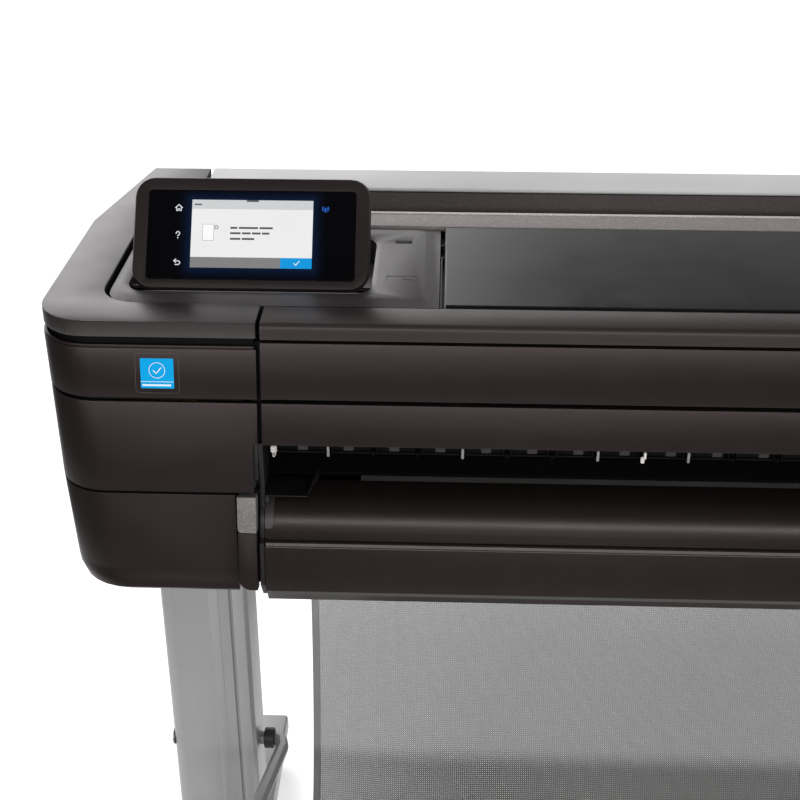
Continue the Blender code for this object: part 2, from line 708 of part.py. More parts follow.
def build_control_panel():
    place = panel_matrix()
    hinge = (PANEL_CENTRE_X, PANEL_HINGE_Y, PANEL_HINGE_Z)
    w, h = PANEL_W / 2, PANEL_H / 2

    def ring(shrink, z):
        return [(x, y, z) for x, y in rounded_rect(-w + shrink, -h + shrink, w - shrink, h - shrink,
                                                   0.0165 - shrink, 5)]

    body = loft_mesh([ring(0.006, -PANEL_T), ring(0.0015, -PANEL_T + 0.004), ring(0.0, -0.004),
                      ring(0.0015, 0.0)])
    body.transform(place)
    housing = link("control_panel_housing", body, DARKER)
    gw, gh = GLASS_W / 2, GLASS_H / 2
    hole = rounded_rect(-gw, -gh + GLASS_RISE, gw, gh + GLASS_RISE, 0.003, 2)
    pocket = plate_mesh([hole], "Z", -0.0020, 0.010)
    pocket.transform(place)
    combine(housing, pocket)
    reach = PANEL_W / 2 + 0.0115
    pin = rod_mesh(PANEL_PIN_R, PANEL_CENTRE_X - reach, PANEL_CENTRE_X + reach, "X",
                   (0, PANEL_HINGE_Y, PANEL_HINGE_Z), 12)
    combine(housing, pin, "UNION")
    set_origin(housing, hinge)
    gap = TOUCH
    pane = rounded_rect(-gw + gap, -gh + GLASS_RISE + gap, gw - gap, gh + GLASS_RISE - gap, 0.0027, 2)
    sheet = plate_mesh([pane], "Z", -0.0017, -0.0004)
    sheet.transform(place)
    set_origin(link("touch_glass", sheet, GLASS), hinge)


def build_rear_deck():
    """Grey strip, bright lip and the stepped trough where sheets are fed."""
    top = [(0.0010, 0.8890), (0.0295, 0.8890), (0.0300, TOP_Z), (0.0335, TOP_Z), (0.0345, 0.8870),
           (0.0480, 0.8720), (0.0550, 0.8715), (0.0620, 0.8460), (0.0665, 0.8460), (0.0955, 0.8855),
           (0.1490, 0.8855)]
    under = [(0.1490, 0.8765), (0.1000, 0.8765), (0.0690, 0.8430), (0.0590, 0.8430),
             (0.0510, 0.8685), (0.0460, 0.8690), (0.0320, 0.8840), (0.0010, 0.8840)]
    plate("rear_deck", top + under, "X", -0.6185, 0.6185, DECK)
    flap = box("sheet_support_flap", (-0.6175, 0.0970, 0.8862), (0.6175, 0.1500, TOP_Z - 0.0003), PALE,
               0.0008)
    set_origin(flap, (0.0, 0.1480, TOP_Z))


def build_rear_cover():
    half = [(0.670, 0.874), (0.653, 0.712), (0.635, 0.680), (0.604, 0.6733), (0.535, 0.6733),
            (0.535, 0.6511)]
    outline = half + [(-x, z) for x, z in half[::-1]]
    windows = [(-0.500, 0.700, -0.472, 0.720), (-0.466, 0.7015, -0.452, 0.7185)]
    windows += [(-0.10 + i * 0.028, 0.70, -0.086 + i * 0.028, 0.76) for i in range(8)]
    holes = [[(x0, z0), (x1, z0), (x1, z1), (x0, z1)] for x0, z0, x1, z1 in windows]
    plate("rear_cover", outline, "Y", 0.1475, 0.1500, DARK, holes)
    socket = box("power_inlet", (-0.4997, 0.1240, 0.7003), (-0.4723, 0.1505, 0.7197), BLACK)
    combine(socket, box_mesh((-0.4975, 0.1340, 0.7025), (-0.4745, 0.16, 0.7175)))
    switch = [(0.1435, 0.7022), (0.1525, 0.7060), (0.1505, 0.7100), (0.1500, 0.7178), (0.1435, 0.7178)]
    item = plate("power_switch", switch, "X", -0.4655, -0.4525, BLACK)
    set_origin(item, (-0.459, 0.1470, 0.7100))


def build_top_and_front():
    build_front_panels()
    build_window()
    build_console()
    build_control_panel()
    build_rear_deck()
    build_rear_cover()


# ---------------------------------------------------------------- roll cover and roll

def build_roll_cover():
    """Rounded top, leaning flat front and a belly that runs back to the hinge."""
    r = COVER_R
    flat_top = (lean_y(0.7151), 0.7151)
    flat_low = (lean_y(COVER_TURN_Z) - 0.0020, 0.6768)
    outer = [(-0.2005, COVER_TOP_Z + 0.0005)]
    outer += arc(COVER_ROUND_Y, COVER_TOP_Z - r, r, 90, 180, 8)
    outer += [(-0.2400, 0.7180), flat_top, flat_low, (-0.2440, 0.6738)]
    outer += [(-0.2380, 0.6610), (-0.2200, 0.6510), (-0.1950, 0.6483)]
    hinge = arc(COVER_HINGE_Y, COVER_HINGE_Z, 0.003, 270, 450, 4)
    inner = [(-0.1950, 0.6513), (-0.2190, 0.6540), (-0.2360, 0.6635), (-0.2415, 0.6743),
             (flat_low[0] + 0.0028, 0.6778), (flat_top[0] + 0.0031, 0.7130)]
    inner += arc(COVER_ROUND_Y, COVER_TOP_Z - r, r - WALL, 180, 90, 8)
    inner += [(-0.2005, COVER_TOP_Z - WALL)]
    cover = plate("roll_cover", outer + hinge + inner, "X", -CENTRE_X + 0.0005, CENTRE_X - 0.0005, DARK)
    set_origin(cover, (0.0, COVER_HINGE_Y, COVER_HINGE_Z))


def build_latch(name, side):
    """Grip on the column beside the roll cover, a little proud of the front face."""
    z0, z1 = 0.6810, 0.7548
    proud = 0.0015

    def at(z, depth):
        low = COVER_TURN_Z - min(z, COVER_TURN_Z)
        return (lean_y(max(z, COVER_TURN_Z)) - low * 0.2 + depth, z)

    profile = [at(z1, -proud), at(z0 + 0.008, -proud), at(z0 + 0.002, 0.0), at(z0, 0.004),
               at(z0, 0.010), at(z1, 0.010)]
    lo, hi = sorted((side * (COLUMN_IN_X + 0.0015), side * LATCH_OUT_X))
    item = plate(name, profile, "X", lo, hi, GREY)
    set_origin(item, (side * 0.5416, lean_y(COVER_TURN_Z) + 0.006, 0.686))


def build_roll():
    r = SPINDLE_R
    hub, hub_in, hub_out, end = 0.026, ROLL_HALF + 0.0015, ROLL_HALF + 0.012, SHAFT_X
    half = [(0, end), (0.006, end), (0.006, end - 0.030), (r, end - 0.032), (r, hub_out),
            (hub - 0.002, hub_out), (hub, hub_out - 0.002), (hub, hub_in), (r, hub_in)]
    profile = half + [(a, -b) for a, b in half[::-1]]
    turned("spindle", profile, (0, ROLL_Y, ROLL_Z), "X", BLACK, 24)
    inner = r + 0.0005
    tube = [(inner, ROLL_HALF), (ROLL_R, ROLL_HALF), (ROLL_R, -ROLL_HALF), (inner, -ROLL_HALF),
            (inner, ROLL_HALF)]
    turned("paper_roll", tube, (0, ROLL_Y, ROLL_Z), "X", PAPER, 36)


# ---------------------------------------------------------------- print mechanism

def build_chassis():
    tray = [(-0.1845, 0.6483), (0.1465, 0.6483), (0.1465, 0.6509), (-0.1820, 0.6509), (-0.1820, 0.6600),
            (-0.1845, 0.6600)]
    plate("chassis_tray", tray, "X", -PLATE_OUT_X, PLATE_OUT_X, STEEL)
    base = [(-0.199, 0.6621), (-0.178, 0.6621), (-0.178, 0.6513), (0.1465, 0.6513)]
    left = base + [(0.1465, 0.838), (0.026, 0.838), (0.026, 0.858), (-0.199, 0.858)]
    plate("left_side_plate", left, "X", -PLATE_OUT_X, -PLATE_IN_X, STEEL)
    right = base + [(0.1465, 0.838), (-0.015, 0.838), (-0.015, 0.770), (-0.199, 0.770)]
    plate("right_side_plate", right, "X", PLATE_IN_X, PLATE_OUT_X, STEEL)


def build_platen():
    profile = [(-0.0820, PLATEN_Z), (-0.1730, PLATEN_Z), (-0.1735, PLATEN_Z + 0.0012),
               (-0.1795, PLATEN_Z + 0.0012), (-0.1800, PLATEN_Z), (-0.1860, PLATEN_Z),
               (-0.1985, 0.7570), (-0.1985, 0.7540), (-0.1850, 0.7605), (-0.0820, 0.7605)]
    plate("platen", profile, "X", -SHAFT_X, SHAFT_X, DARKER)
    cut = plate("cutter", [(-0.1865, 0.7675), (-0.1690, 0.7675), (-0.1690, 0.7850), (-0.1865, 0.7810)],
                "X", -0.525, -0.500, BLACK)
    set_origin(cut, (-0.5125, -0.178, 0.776))


def build_rollers():
    end, r = SHAFT_X, FEED_R
    half = [(0, end), (0.004, end), (0.004, end - 0.012), (r, end - 0.012)]
    turned("feed_roller", half + [(a, -b) for a, b in half[::-1]], (0, FEED_Y, FEED_Z), "X", RUBBER, 24)
    pinch_z = FEED_Z + FEED_R + 0.0004 + PINCH_R
    profile = [(0, end)]
    for i in range(9):
        x = 0.456 - i * 0.114
        profile += [(0.0015, x + 0.030), (PINCH_R, x + 0.030), (PINCH_R, x - 0.030), (0.0015, x - 0.030)]
    profile = [(0, end), (0.0015, end)] + profile[1:] + [(0.0015, -end), (0, -end)]
    turned("pinch_roller", profile, (0, FEED_Y, pinch_z), "X", GREY, 12)
    profile = [(0, end), (0.0018, end)]
    for i in range(STAR_COUNT):
        x = STAR_X0 + (STAR_COUNT - 1 - i) * STAR_PITCH
        profile += [(0.0018, x + 0.0015), (STAR_R, x + 0.0005), (STAR_R, x - 0.0005), (0.0018, x - 0.0015)]
    profile += [(0.0018, -end), (0, -end)]
    turned("star_wheel_shaft", profile, (0, STAR_Y, STAR_Z), "X", STEEL, 10)


def build_carriage():
    beam = [(-0.064, 0.800), (-0.020, 0.800), (-0.020, 0.858), (-0.046, 0.858), (-0.046, 0.855),
            (-0.023, 0.855), (-0.023, 0.803), (-0.064, 0.803)]
    plate("guide_rail", beam, "X", -SHAFT_X, 0.672, STEEL)
    body = [(-0.163, 0.778), (-0.050, 0.778), (-0.050, 0.7992), (-0.0655, 0.7992), (-0.0655, 0.8038),
            (-0.0430, 0.8038), (-0.0430, 0.8120), (-0.0680, 0.8120), (-0.0680, 0.8380),
            (-0.1440, 0.8380), (-0.1630, 0.8220)]
    item = plate("carriage", body, "X", CARRIAGE_X0, CARRIAGE_X1, BLACK)
    middle = (CARRIAGE_X0 + CARRIAGE_X1) / 2
    set_origin(item, (middle, -0.11, 0.815))
    lever = [(-0.1400, 0.8385), (-0.1150, 0.8385), (-0.1150, 0.8430), (-0.1385, 0.8430)]
    latch = plate("printhead_latch", lever, "X", middle - 0.040, middle + 0.040, GREY)
    set_origin(latch, (middle, -0.1165, 0.8408))


def build_belt():
    r = PULLEY_R
    profile = [(0, 0.0062), (r + 0.0016, 0.0062), (r + 0.0016, 0.0047), (r, 0.0045), (r, -0.0045),
               (r + 0.0016, -0.0047), (r + 0.0016, -0.0062), (0, -0.0062)]
    for name, x in (("drive_pulley", DRIVE_PULLEY_X), ("idler_pulley", IDLER_PULLEY_X)):
        turned(name, profile, (x, PULLEY_Y, PULLEY_Z), "Y", STEEL, 20)

    def track(radius):
        return (arc(DRIVE_PULLEY_X, PULLEY_Z, radius, -90, 90, 8)
                + arc(IDLER_PULLEY_X, PULLEY_Z, radius, 90, 270, 8))

    plate("drive_belt", track(r + 0.0014), "Y", PULLEY_Y - 0.0035, PULLEY_Y + 0.0035, RUBBER,
          [track(r + 0.0004)])


def build_ink():
    for i, (colour, finish) in enumerate(INK_COLOURS.items()):
        x = CARTRIDGE_X0 + i * CARTRIDGE_PITCH
        item = box("ink_cartridge_" + colour, (x, -0.1950, 0.7650), (x + CARTRIDGE_W, -0.0800, 0.8220),
                   finish, 0.002)
        set_origin(item, (x + CARTRIDGE_W / 2, -0.1375, 0.7935))


def build_service_station():
    """Capping sled under the parked carriage, with a raised rim."""
    item = box("service_station", (0.556, -0.160, 0.700), (0.648, -0.075, 0.770), DARKER, 0.002)
    combine(item, box_mesh((0.568, -0.145, 0.762), (0.636, -0.090, 0.80)))


# ---------------------------------------------------------------- build

clear_scene()
PARTS = make_collection("large_format_plotter")
CUTTERS = make_collection("cutters")
build_stand()
build_columns()
build_top_and_front()
build_roll_cover()
build_latch("left_cover_latch", -1)
build_latch("right_cover_latch", 1)
build_roll()
build_chassis()
build_platen()
build_rollers()
build_carriage()
build_belt()
build_ink()
build_service_station()
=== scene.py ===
"""Looks of the large format plotter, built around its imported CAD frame.

Metres, row frame: +Z up, X to the right, front towards -Y.
"""

import json
import math

import bmesh
import bpy
from mathutils import Matrix, Vector


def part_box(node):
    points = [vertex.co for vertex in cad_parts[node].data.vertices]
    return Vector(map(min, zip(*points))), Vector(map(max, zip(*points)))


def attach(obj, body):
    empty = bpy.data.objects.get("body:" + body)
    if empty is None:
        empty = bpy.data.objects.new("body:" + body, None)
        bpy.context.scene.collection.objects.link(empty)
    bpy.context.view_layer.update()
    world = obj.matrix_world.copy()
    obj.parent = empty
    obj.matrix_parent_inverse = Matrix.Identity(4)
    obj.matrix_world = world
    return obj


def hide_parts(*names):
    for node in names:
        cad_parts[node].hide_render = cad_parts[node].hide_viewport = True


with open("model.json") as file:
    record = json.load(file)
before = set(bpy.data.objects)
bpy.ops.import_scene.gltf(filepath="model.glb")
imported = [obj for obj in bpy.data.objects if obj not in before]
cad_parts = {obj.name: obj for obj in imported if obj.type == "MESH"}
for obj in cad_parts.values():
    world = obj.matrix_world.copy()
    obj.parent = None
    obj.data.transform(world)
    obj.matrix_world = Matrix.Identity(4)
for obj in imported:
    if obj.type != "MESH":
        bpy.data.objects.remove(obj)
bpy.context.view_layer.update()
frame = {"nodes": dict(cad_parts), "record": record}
scene = bpy.context.scene
PANEL_TILT = math.radians(36.0)
FACE_LEAN = math.radians(12.0)
MM = 0.001
DECK_TOP = 0.8885
SIDES = (-1, 1)
NAMED_SIDES = ((-1, "left"), (1, "right"))


# ---------------------------------------------------------------- camera, floor and light

CAMERA_PLACE = (-0.392, -1.126, 1.318)
CAMERA_PITCH = 28.1  # degrees below the horizon
CAMERA_YAW = 2.0  # degrees to the left
SWEEP_LEVEL = 1.2
BOX_LEVEL = 2.7
FRONT_LEVEL = 1.15
CEILING_LEVEL = 0.08
LOW_LEVEL = 1.0
FLOOR_GLOW = 0.60


def add_camera():
    data = bpy.data.cameras.new("camera")
    data.sensor_width = 36.0
    data.lens = 61.5
    data.clip_end = 60.0
    item = bpy.data.objects.new("camera", data)
    item.location = CAMERA_PLACE
    item.rotation_euler = (math.radians(90 - CAMERA_PITCH), 0.0, math.radians(CAMERA_YAW))
    scene.collection.objects.link(item)
    scene.camera = item


def add_sun(name, strength, direction, spread_angle):
    """Direction is where the light comes from."""
    data = bpy.data.lights.new(name, "SUN")
    data.energy = strength
    data.angle = math.radians(spread_angle)
    item = bpy.data.objects.new(name, data)
    item.rotation_euler = Vector(direction).to_track_quat("Z", "Y").to_euler()
    item.visible_glossy = False
    scene.collection.objects.link(item)


def add_softbox(name, power, place, target, size):
    data = bpy.data.lights.new(name, "AREA")
    data.shape = "RECTANGLE"
    data.size, data.size_y = size
    data.energy = power
    item = bpy.data.objects.new(name, data)
    item.location = place
    item.rotation_euler = (Vector(place) - Vector(target)).to_track_quat("Z", "Y").to_euler()
    scene.collection.objects.link(item)


def add_world():
    """White sweep behind, a bright box above it on the left, a soft patch in front, under a dim ceiling.

    What lies beyond the floor is plain white where it is looked at directly.
    """
    world = bpy.data.worlds.new("studio")
    world.use_nodes = True
    tree = world.node_tree
    shade = tree.nodes["Background"]
    coords = tree.nodes.new("ShaderNodeTexCoord")
    parts = tree.nodes.new("ShaderNodeSeparateXYZ")
    tree.links.new(coords.outputs["Generated"], parts.inputs[0])

    def remap(value, lo, hi, to_lo, to_hi):
        item = tree.nodes.new("ShaderNodeMapRange")
        item.interpolation_type = "SMOOTHSTEP"
        for key, number in (("From Min", lo), ("From Max", hi), ("To Min", to_lo), ("To Max", to_hi)):
            item.inputs[key].default_value = number
        tree.links.new(value, item.inputs["Value"])
        return item.outputs[0]

    def combine(operation, a, b):
        item = tree.nodes.new("ShaderNodeMath")
        item.operation = operation
        for index, value in enumerate((a, b)):
            if isinstance(value, bpy.types.NodeSocket):
                tree.links.new(value, item.inputs[index])
            else:
                item.inputs[index].default_value = value
        return item.outputs[0]

    def product(first, *others):
        for other in others:
            first = combine("MULTIPLY", first, other)
        return first

    x, y, z = parts.outputs
    rear = remap(y, 0.45, 0.85, 0.0, 1.0)
    above_floor = remap(z, -0.10, 0.0, 0.0, 1.0)
    sweep = product(rear, above_floor, remap(z, 0.26, 0.44, 1.0, 0.0), remap(x, -0.05, 0.30, 1.0, 0.55),
                    SWEEP_LEVEL)
    box = product(rear, remap(z, 0.20, 0.40, 0.30, 1.0), remap(z, 0.45, 0.64, 1.0, 0.0),
                  remap(x, -0.30, 0.04, 1.0, 0.0), BOX_LEVEL)
    aside = combine("ABSOLUTE", combine("ADD", x, 0.07), 0.0)
    front = product(remap(y, -0.90, -0.60, 1.0, 0.0), remap(aside, 0.04, 0.36, 1.0, 0.0),
                    remap(z, -0.24, -0.08, 0.0, 1.0), remap(z, 0.02, 0.22, 1.0, 0.0), FRONT_LEVEL)
    low = remap(z, -0.62, -0.50, LOW_LEVEL, 0.0)
    total = CEILING_LEVEL
    for part in (sweep, box, front, low):
        total = combine("ADD", part, total)
    path = tree.nodes.new("ShaderNodeLightPath").outputs["Is Camera Ray"]
    seen = tree.nodes.new("ShaderNodeMix")
    tree.links.new(path, seen.inputs["Factor"])
    tree.links.new(total, seen.inputs["A"])
    seen.inputs["B"].default_value = 1.0
    tree.links.new(seen.outputs["Result"], shade.inputs["Strength"])
    shade.inputs["Color"].default_value = (1, 1, 1, 1)
    scene.world = world


def add_floor():
    bm = bmesh.new()
    bmesh.ops.create_grid(bm, x_segments=8, y_segments=8, size=30)
    mesh = bpy.data.meshes.new("floor")
    bm.to_mesh(mesh)
    bm.free()
    item = bpy.data.objects.new("floor", mesh)
    scene.collection.objects.link(item)
    paper = finish("floor_paper", (0.93, 0.93, 0.93), 0.9, grain=0.004, relief=0.00002, mottle=0.01)
    shader = paper.node_tree.nodes["Principled BSDF"]
    shader.inputs["Emission Color"].default_value = (1, 1, 1, 1)
    shader.inputs["Emission Strength"].default_value = FLOOR_GLOW
    mesh.materials.append(paper)
    item.visible_glossy = False


def add_studio():
    scene.view_settings.view_transform = "Standard"
    add_camera()
    add_world()
    add_floor()
    add_sun("overhead", 1.5, (-0.30, 0.35, 0.88), 35)
    add_sun("side_fill", 0.8, (0.8, -0.5, 0.25), 40)
    add_softbox("strip_in_front", 36, (0.0, -2.2, 1.55), (0.0, -0.23, 0.73), (5.0, 0.18))


# ---------------------------------------------------------------- mesh tools

AXIS_PLACE = {
    "X": lambda u, v, w: (w, u, v),
    "Y": lambda u, v, w: (u, w, v),
    "Z": lambda u, v, w: (u, v, w),
}


def arc(cx, cy, radius, start, end, steps=6):
    angles = [math.radians(start + (end - start) * i / steps) for i in range(steps + 1)]
    return [(cx + radius * math.cos(a), cy + radius * math.sin(a)) for a in angles]


def spread(start, pitch, count):
    return [start + i * pitch for i in range(count)]


def rounded_rect(x0, y0, x1, y1, r, steps=4):
    return (arc(x0 + r, y0 + r, r, 180, 270, steps) + arc(x1 - r, y0 + r, r, 270, 360, steps)
            + arc(x1 - r, y1 - r, r, 0, 90, steps) + arc(x0 + r, y1 - r, r, 90, 180, steps))


class Shape:
    """Closed solids gathered into the mesh of one piece."""

    def __init__(self, place=None):
        self.bm = bmesh.new()
        self.paint = 0
        self.place = place or Matrix.Identity(4)

    def take(self, bm, local=None):
        bmesh.ops.remove_doubles(bm, verts=bm.verts, dist=1e-7)
        bmesh.ops.recalc_face_normals(bm, faces=bm.faces)
        for face in bm.faces:
            face.material_index = self.paint
        bm.transform(self.place @ local if local else self.place)
        mesh = bpy.data.meshes.new("solid")
        bm.to_mesh(mesh)
        bm.free()
        self.bm.from_mesh(mesh)
        bpy.data.meshes.remove(mesh)
        return self

    def loft(self, rings, closed=False):
        bm = bmesh.new()
        rows = [[bm.verts.new(point) for point in ring] for ring in rings]
        pairs = list(zip(rows, rows[1:] + rows[:1])) if closed else list(zip(rows, rows[1:]))
        count = len(rows[0])
        for low, high in pairs:
            for i in range(count):
                j = (i + 1) % count
                bm.faces.new((low[i], low[j], high[j], high[i]))
        if not closed:
            bm.faces.new(list(reversed(rows[0])))
            bm.faces.new(rows[-1])
        return self.take(bm)

    def prism(self, outline, axis, lo, hi):
        """Outline points are (Y, Z) for X, (X, Z) for Y and (X, Y) for Z."""
        place = AXIS_PLACE[axis]
        return self.loft([[place(u, v, w) for u, v in outline] for w in (lo, hi)])

    def box(self, lo, hi, bevel=0.0):
        bm = bmesh.new()
        bmesh.ops.create_cube(bm, size=1.0)
        bmesh.ops.scale(bm, vec=Vector(hi) - Vector(lo), verts=bm.verts)
        if bevel:
            bmesh.ops.bevel(bm, geom=bm.edges[:], offset=bevel, segments=2, affect="EDGES")
        bmesh.ops.translate(bm, vec=(Vector(hi) + Vector(lo)) / 2, verts=bm.verts)
        return self.take(bm)

    def rod(self, a, b, radius, sides=12):
        along = Vector(b) - Vector(a)
        bm = bmesh.new()
        bmesh.ops.create_cone(bm, cap_ends=True, segments=sides, radius1=radius, radius2=radius,
                              depth=along.length)
        turn = along.to_track_quat("Z", "Y").to_matrix().to_4x4()
        return self.take(bm, Matrix.Translation((Vector(a) + Vector(b)) / 2) @ turn)

    def turn(self, profile, centre, axis="Z", sides=24, closed=False):
        """Spin a (radius, height) profile about an axis through the centre."""
        frame_of = {"X": Matrix.Rotation(math.pi / 2, 4, "Y"), "Y": Matrix.Rotation(-math.pi / 2, 4, "X"),
                    "Z": Matrix.Identity(4)}[axis]
        local = Matrix.Translation(centre) @ frame_of
        angles = [2 * math.pi * i / sides for i in range(sides)]
        rings = [[local @ Vector((max(r, 2e-5) * math.cos(a), max(r, 2e-5) * math.sin(a), h)) for a in angles]
                 for r, h in profile]
        return self.loft(rings, closed)

    def line(self, points, width, lo, hi):
        """Flat stroke through local points, from lo to hi above the local plane."""
        for (ax, ay), (bx, by) in zip(points, points[1:]):
            along = Vector((bx - ax, by - ay)).normalized() * width / 2
            across = Vector((-along.y, along.x))
            ends = [Vector((ax, ay)) - along, Vector((bx, by)) + along]
            outline = [ends[0] - across, ends[1] - across, ends[1] + across, ends[0] + across]
            self.prism([(p.x, p.y) for p in outline], "Z", lo, hi)
        return self

    def border(self, axis, low, high, width, span, bevel=0.0):
        """Four bars round a rectangle, with a span of depth along the axis."""
        (u0, v0), (u1, v1) = low, high
        place = AXIS_PLACE[axis]
        for a, b in (((u0, v0), (u0 + width, v1)), ((u1 - width, v0), (u1, v1)),
                     ((u0, v0), (u1, v0 + width)), ((u0, v1 - width), (u1, v1))):
            self.box(place(*a, span[0]), place(*b, span[1]), bevel)

    def row(self, places, lo, hi, bevel=0.0):
        """The same box at each of a row of places along X."""
        for x in places:
            self.box((x + lo[0], *lo[1:]), (x + hi[0], *hi[1:]), bevel)

    def washer(self, inner, outer, height, centre, sides):
        """Flat ring that stands out along X."""
        self.turn([(outer, 0.0), (outer, height), (inner, height), (inner, 0.0)], centre, "X", sides, True)

    def spokes(self, centre, axis, count, inner, outer, radius):
        """Thin rods round an axis through the centre, from the inner to the outer distance."""
        for k in range(count):
            angle = 2 * math.pi * k / count
            ends = [Vector(centre) + Vector(AXIS_PLACE[axis](r * math.cos(angle), r * math.sin(angle), 0.0))
                    for r in (inner, outer)]
            self.rod(*ends, radius, 6)

    def screw(self, x, y, z, axis, out, radius=0.003):
        """Pan head with a cross recess, its underside at the point, facing out along the axis."""
        r = radius
        self.turn([(r * 0.92, 0.0), (r, out * 0.0004), (r * 0.85, out * 0.0013), (r * 0.45, out * 0.0017),
                   (r * 0.30, out * 0.0009), (0.0, out * 0.0008)], (x, y, z), axis, 14)
        return self


def piece(name, shape, materials, body="machine", bevel=0.0):
    bmesh.ops.recalc_face_normals(shape.bm, faces=shape.bm.faces)
    mesh = bpy.data.meshes.new(name)
    shape.bm.to_mesh(mesh)
    shape.bm.free()
    for material in materials:
        mesh.materials.append(material)
    item = bpy.data.objects.new(name, mesh)
    scene.collection.objects.link(item)
    round_edges(item, bevel)
    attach(item, body)
    return item


# ---------------------------------------------------------------- materials

class Graph:
    """Short names for building a node material."""

    def __init__(self, name):
        self.mat = bpy.data.materials.new(name)
        self.mat.use_nodes = True
        self.tree = self.mat.node_tree
        self.shader = self.tree.nodes["Principled BSDF"]

    def node(self, kind, values=None, **settings):
        item = self.tree.nodes.new(kind)
        for key, value in settings.items():
            setattr(item, key, value)
        for key, value in (values or {}).items():
            self.put(item, key, value)
        return item

    def put(self, item, key, value):
        if isinstance(value, bpy.types.NodeSocket):
            self.tree.links.new(value, item.inputs[key])
        else:
            item.inputs[key].default_value = value

    def math(self, operation, a, b=0.0, c=None):
        values = {0: a, 1: b}
        if c is not None:
            values[2] = c
        return self.node("ShaderNodeMath", values, operation=operation).outputs[0]

    def mix(self, factor, a, b):
        item = self.node("ShaderNodeMix", data_type="RGBA")
        for key, value in (("Factor", factor), ("A", a), ("B", b)):
            found = [s for s in item.inputs if s.name == key and s.enabled]
            if isinstance(value, bpy.types.NodeSocket):
                self.tree.links.new(value, found[0])
            else:
                found[0].default_value = value
        return [s for s in item.outputs if s.enabled][0]

    def remap(self, value, lo, hi, to_lo, to_hi):
        item = self.node("ShaderNodeMapRange", {"Value": value, "From Min": lo, "From Max": hi,
                                                "To Min": to_lo, "To Max": to_hi})
        return item.outputs[0]

    def noise(self, scale, detail=2.0, vector=None, rough=0.5):
        item = self.node("ShaderNodeTexNoise", {"Scale": scale, "Detail": detail, "Roughness": rough})
        self.tree.links.new(vector or self.place(), item.inputs["Vector"])
        return item.outputs["Fac"]

    def place(self, scale=(1, 1, 1), turn=(0, 0, 0), shift=(0, 0, 0)):
        coords = self.node("ShaderNodeTexCoord").outputs["Object"]
        item = self.node("ShaderNodeMapping", {"Vector": coords, "Location": shift, "Rotation": turn,
                                               "Scale": scale})
        return item.outputs[0]

    def bump(self, height, distance, strength=1.0, normal=None):
        item = self.node("ShaderNodeBump", {"Height": height, "Distance": distance, "Strength": strength})
        if normal is not None:
            self.tree.links.new(normal, item.inputs["Normal"])
        return item.outputs[0]


def shade(colour, factor):
    return tuple(min(1.0, c * factor) for c in colour[:3]) + (1.0,)


FINISHES = {}


def finish(name, colour, rough, metallic=0.0, grain=0.0008, relief=0.00004, fleck=0.0, mottle=0.10,
           specular=0.5, tint=None, streak=None):
    """Moulded or painted surface: mottled colour, fine grain relief, uneven gloss and optional flecks."""
    if name in FINISHES:
        return FINISHES[name]
    g = Graph(name)
    broad = g.noise(5.0, 3.0)
    tone = g.mix(g.remap(broad, 0.3, 0.7, 0.0, 1.0), shade(colour, 1 - mottle), shade(colour, 1 + mottle))
    fine = g.noise(1.0 / grain, 1.5)
    if fleck:
        spark = g.remap(g.noise(0.8 / grain, 1.0), 0.50, 0.74, 0.0, fleck)
        tone = g.mix(spark, tone, shade(colour, 3.2))
    if streak:
        lines = g.noise(1.0, 2.0, g.place(scale=streak))
        tone = g.mix(g.remap(lines, 0.45, 0.75, 0.0, 0.35), tone, shade(colour, 1.9))
    g.put(g.shader, "Base Color", tone)
    smear = g.noise(38.0, 4.0)
    g.put(g.shader, "Roughness", g.remap(smear, 0.25, 0.75, max(0.02, rough - 0.02), min(1, rough + 0.03)))
    g.put(g.shader, "Metallic", metallic)
    g.put(g.shader, "Specular IOR Level", specular)
    if tint:
        g.put(g.shader, "Specular Tint", (*tint, 1.0))
    g.put(g.shader, "Normal", g.bump(fine, relief))
    FINISHES[name] = g.mat
    return g.mat


COVER = (0.0100, 0.0068, 0.0068)
LIP = (0.028, 0.0220, 0.0220)
WARM = (1.0, 0.82, 0.82)
PALE_WARM = (1.0, 0.93, 0.93)
CAP = (0.014, 0.0112, 0.0110)
DECK = (0.030, 0.0270, 0.0265)


def srgb(r, g, b):
    """Linear colour of an 8-bit display colour."""
    return tuple(((c / 255 + 0.055) / 1.055) ** 2.4 if c > 10 else c / 255 / 12.92 for c in (r, g, b))


def lit(name, r, g, b, level=1.0):
    """Backlit picture element with a faint uneven backlight."""
    g_ = Graph(name)
    colour = srgb(r, g, b)
    g_.put(g_.shader, "Base Color", (0.01, 0.01, 0.01, 1))
    g_.put(g_.shader, "Roughness", 0.3)
    g_.put(g_.shader, "Specular IOR Level", 0.2)
    tone = g_.mix(g_.noise(30.0, 1.0), shade(colour, 0.97), shade(colour, 1.03))
    g_.put(g_.shader, "Emission Color", tone)
    g_.put(g_.shader, "Emission Strength", level)
    return g_.mat


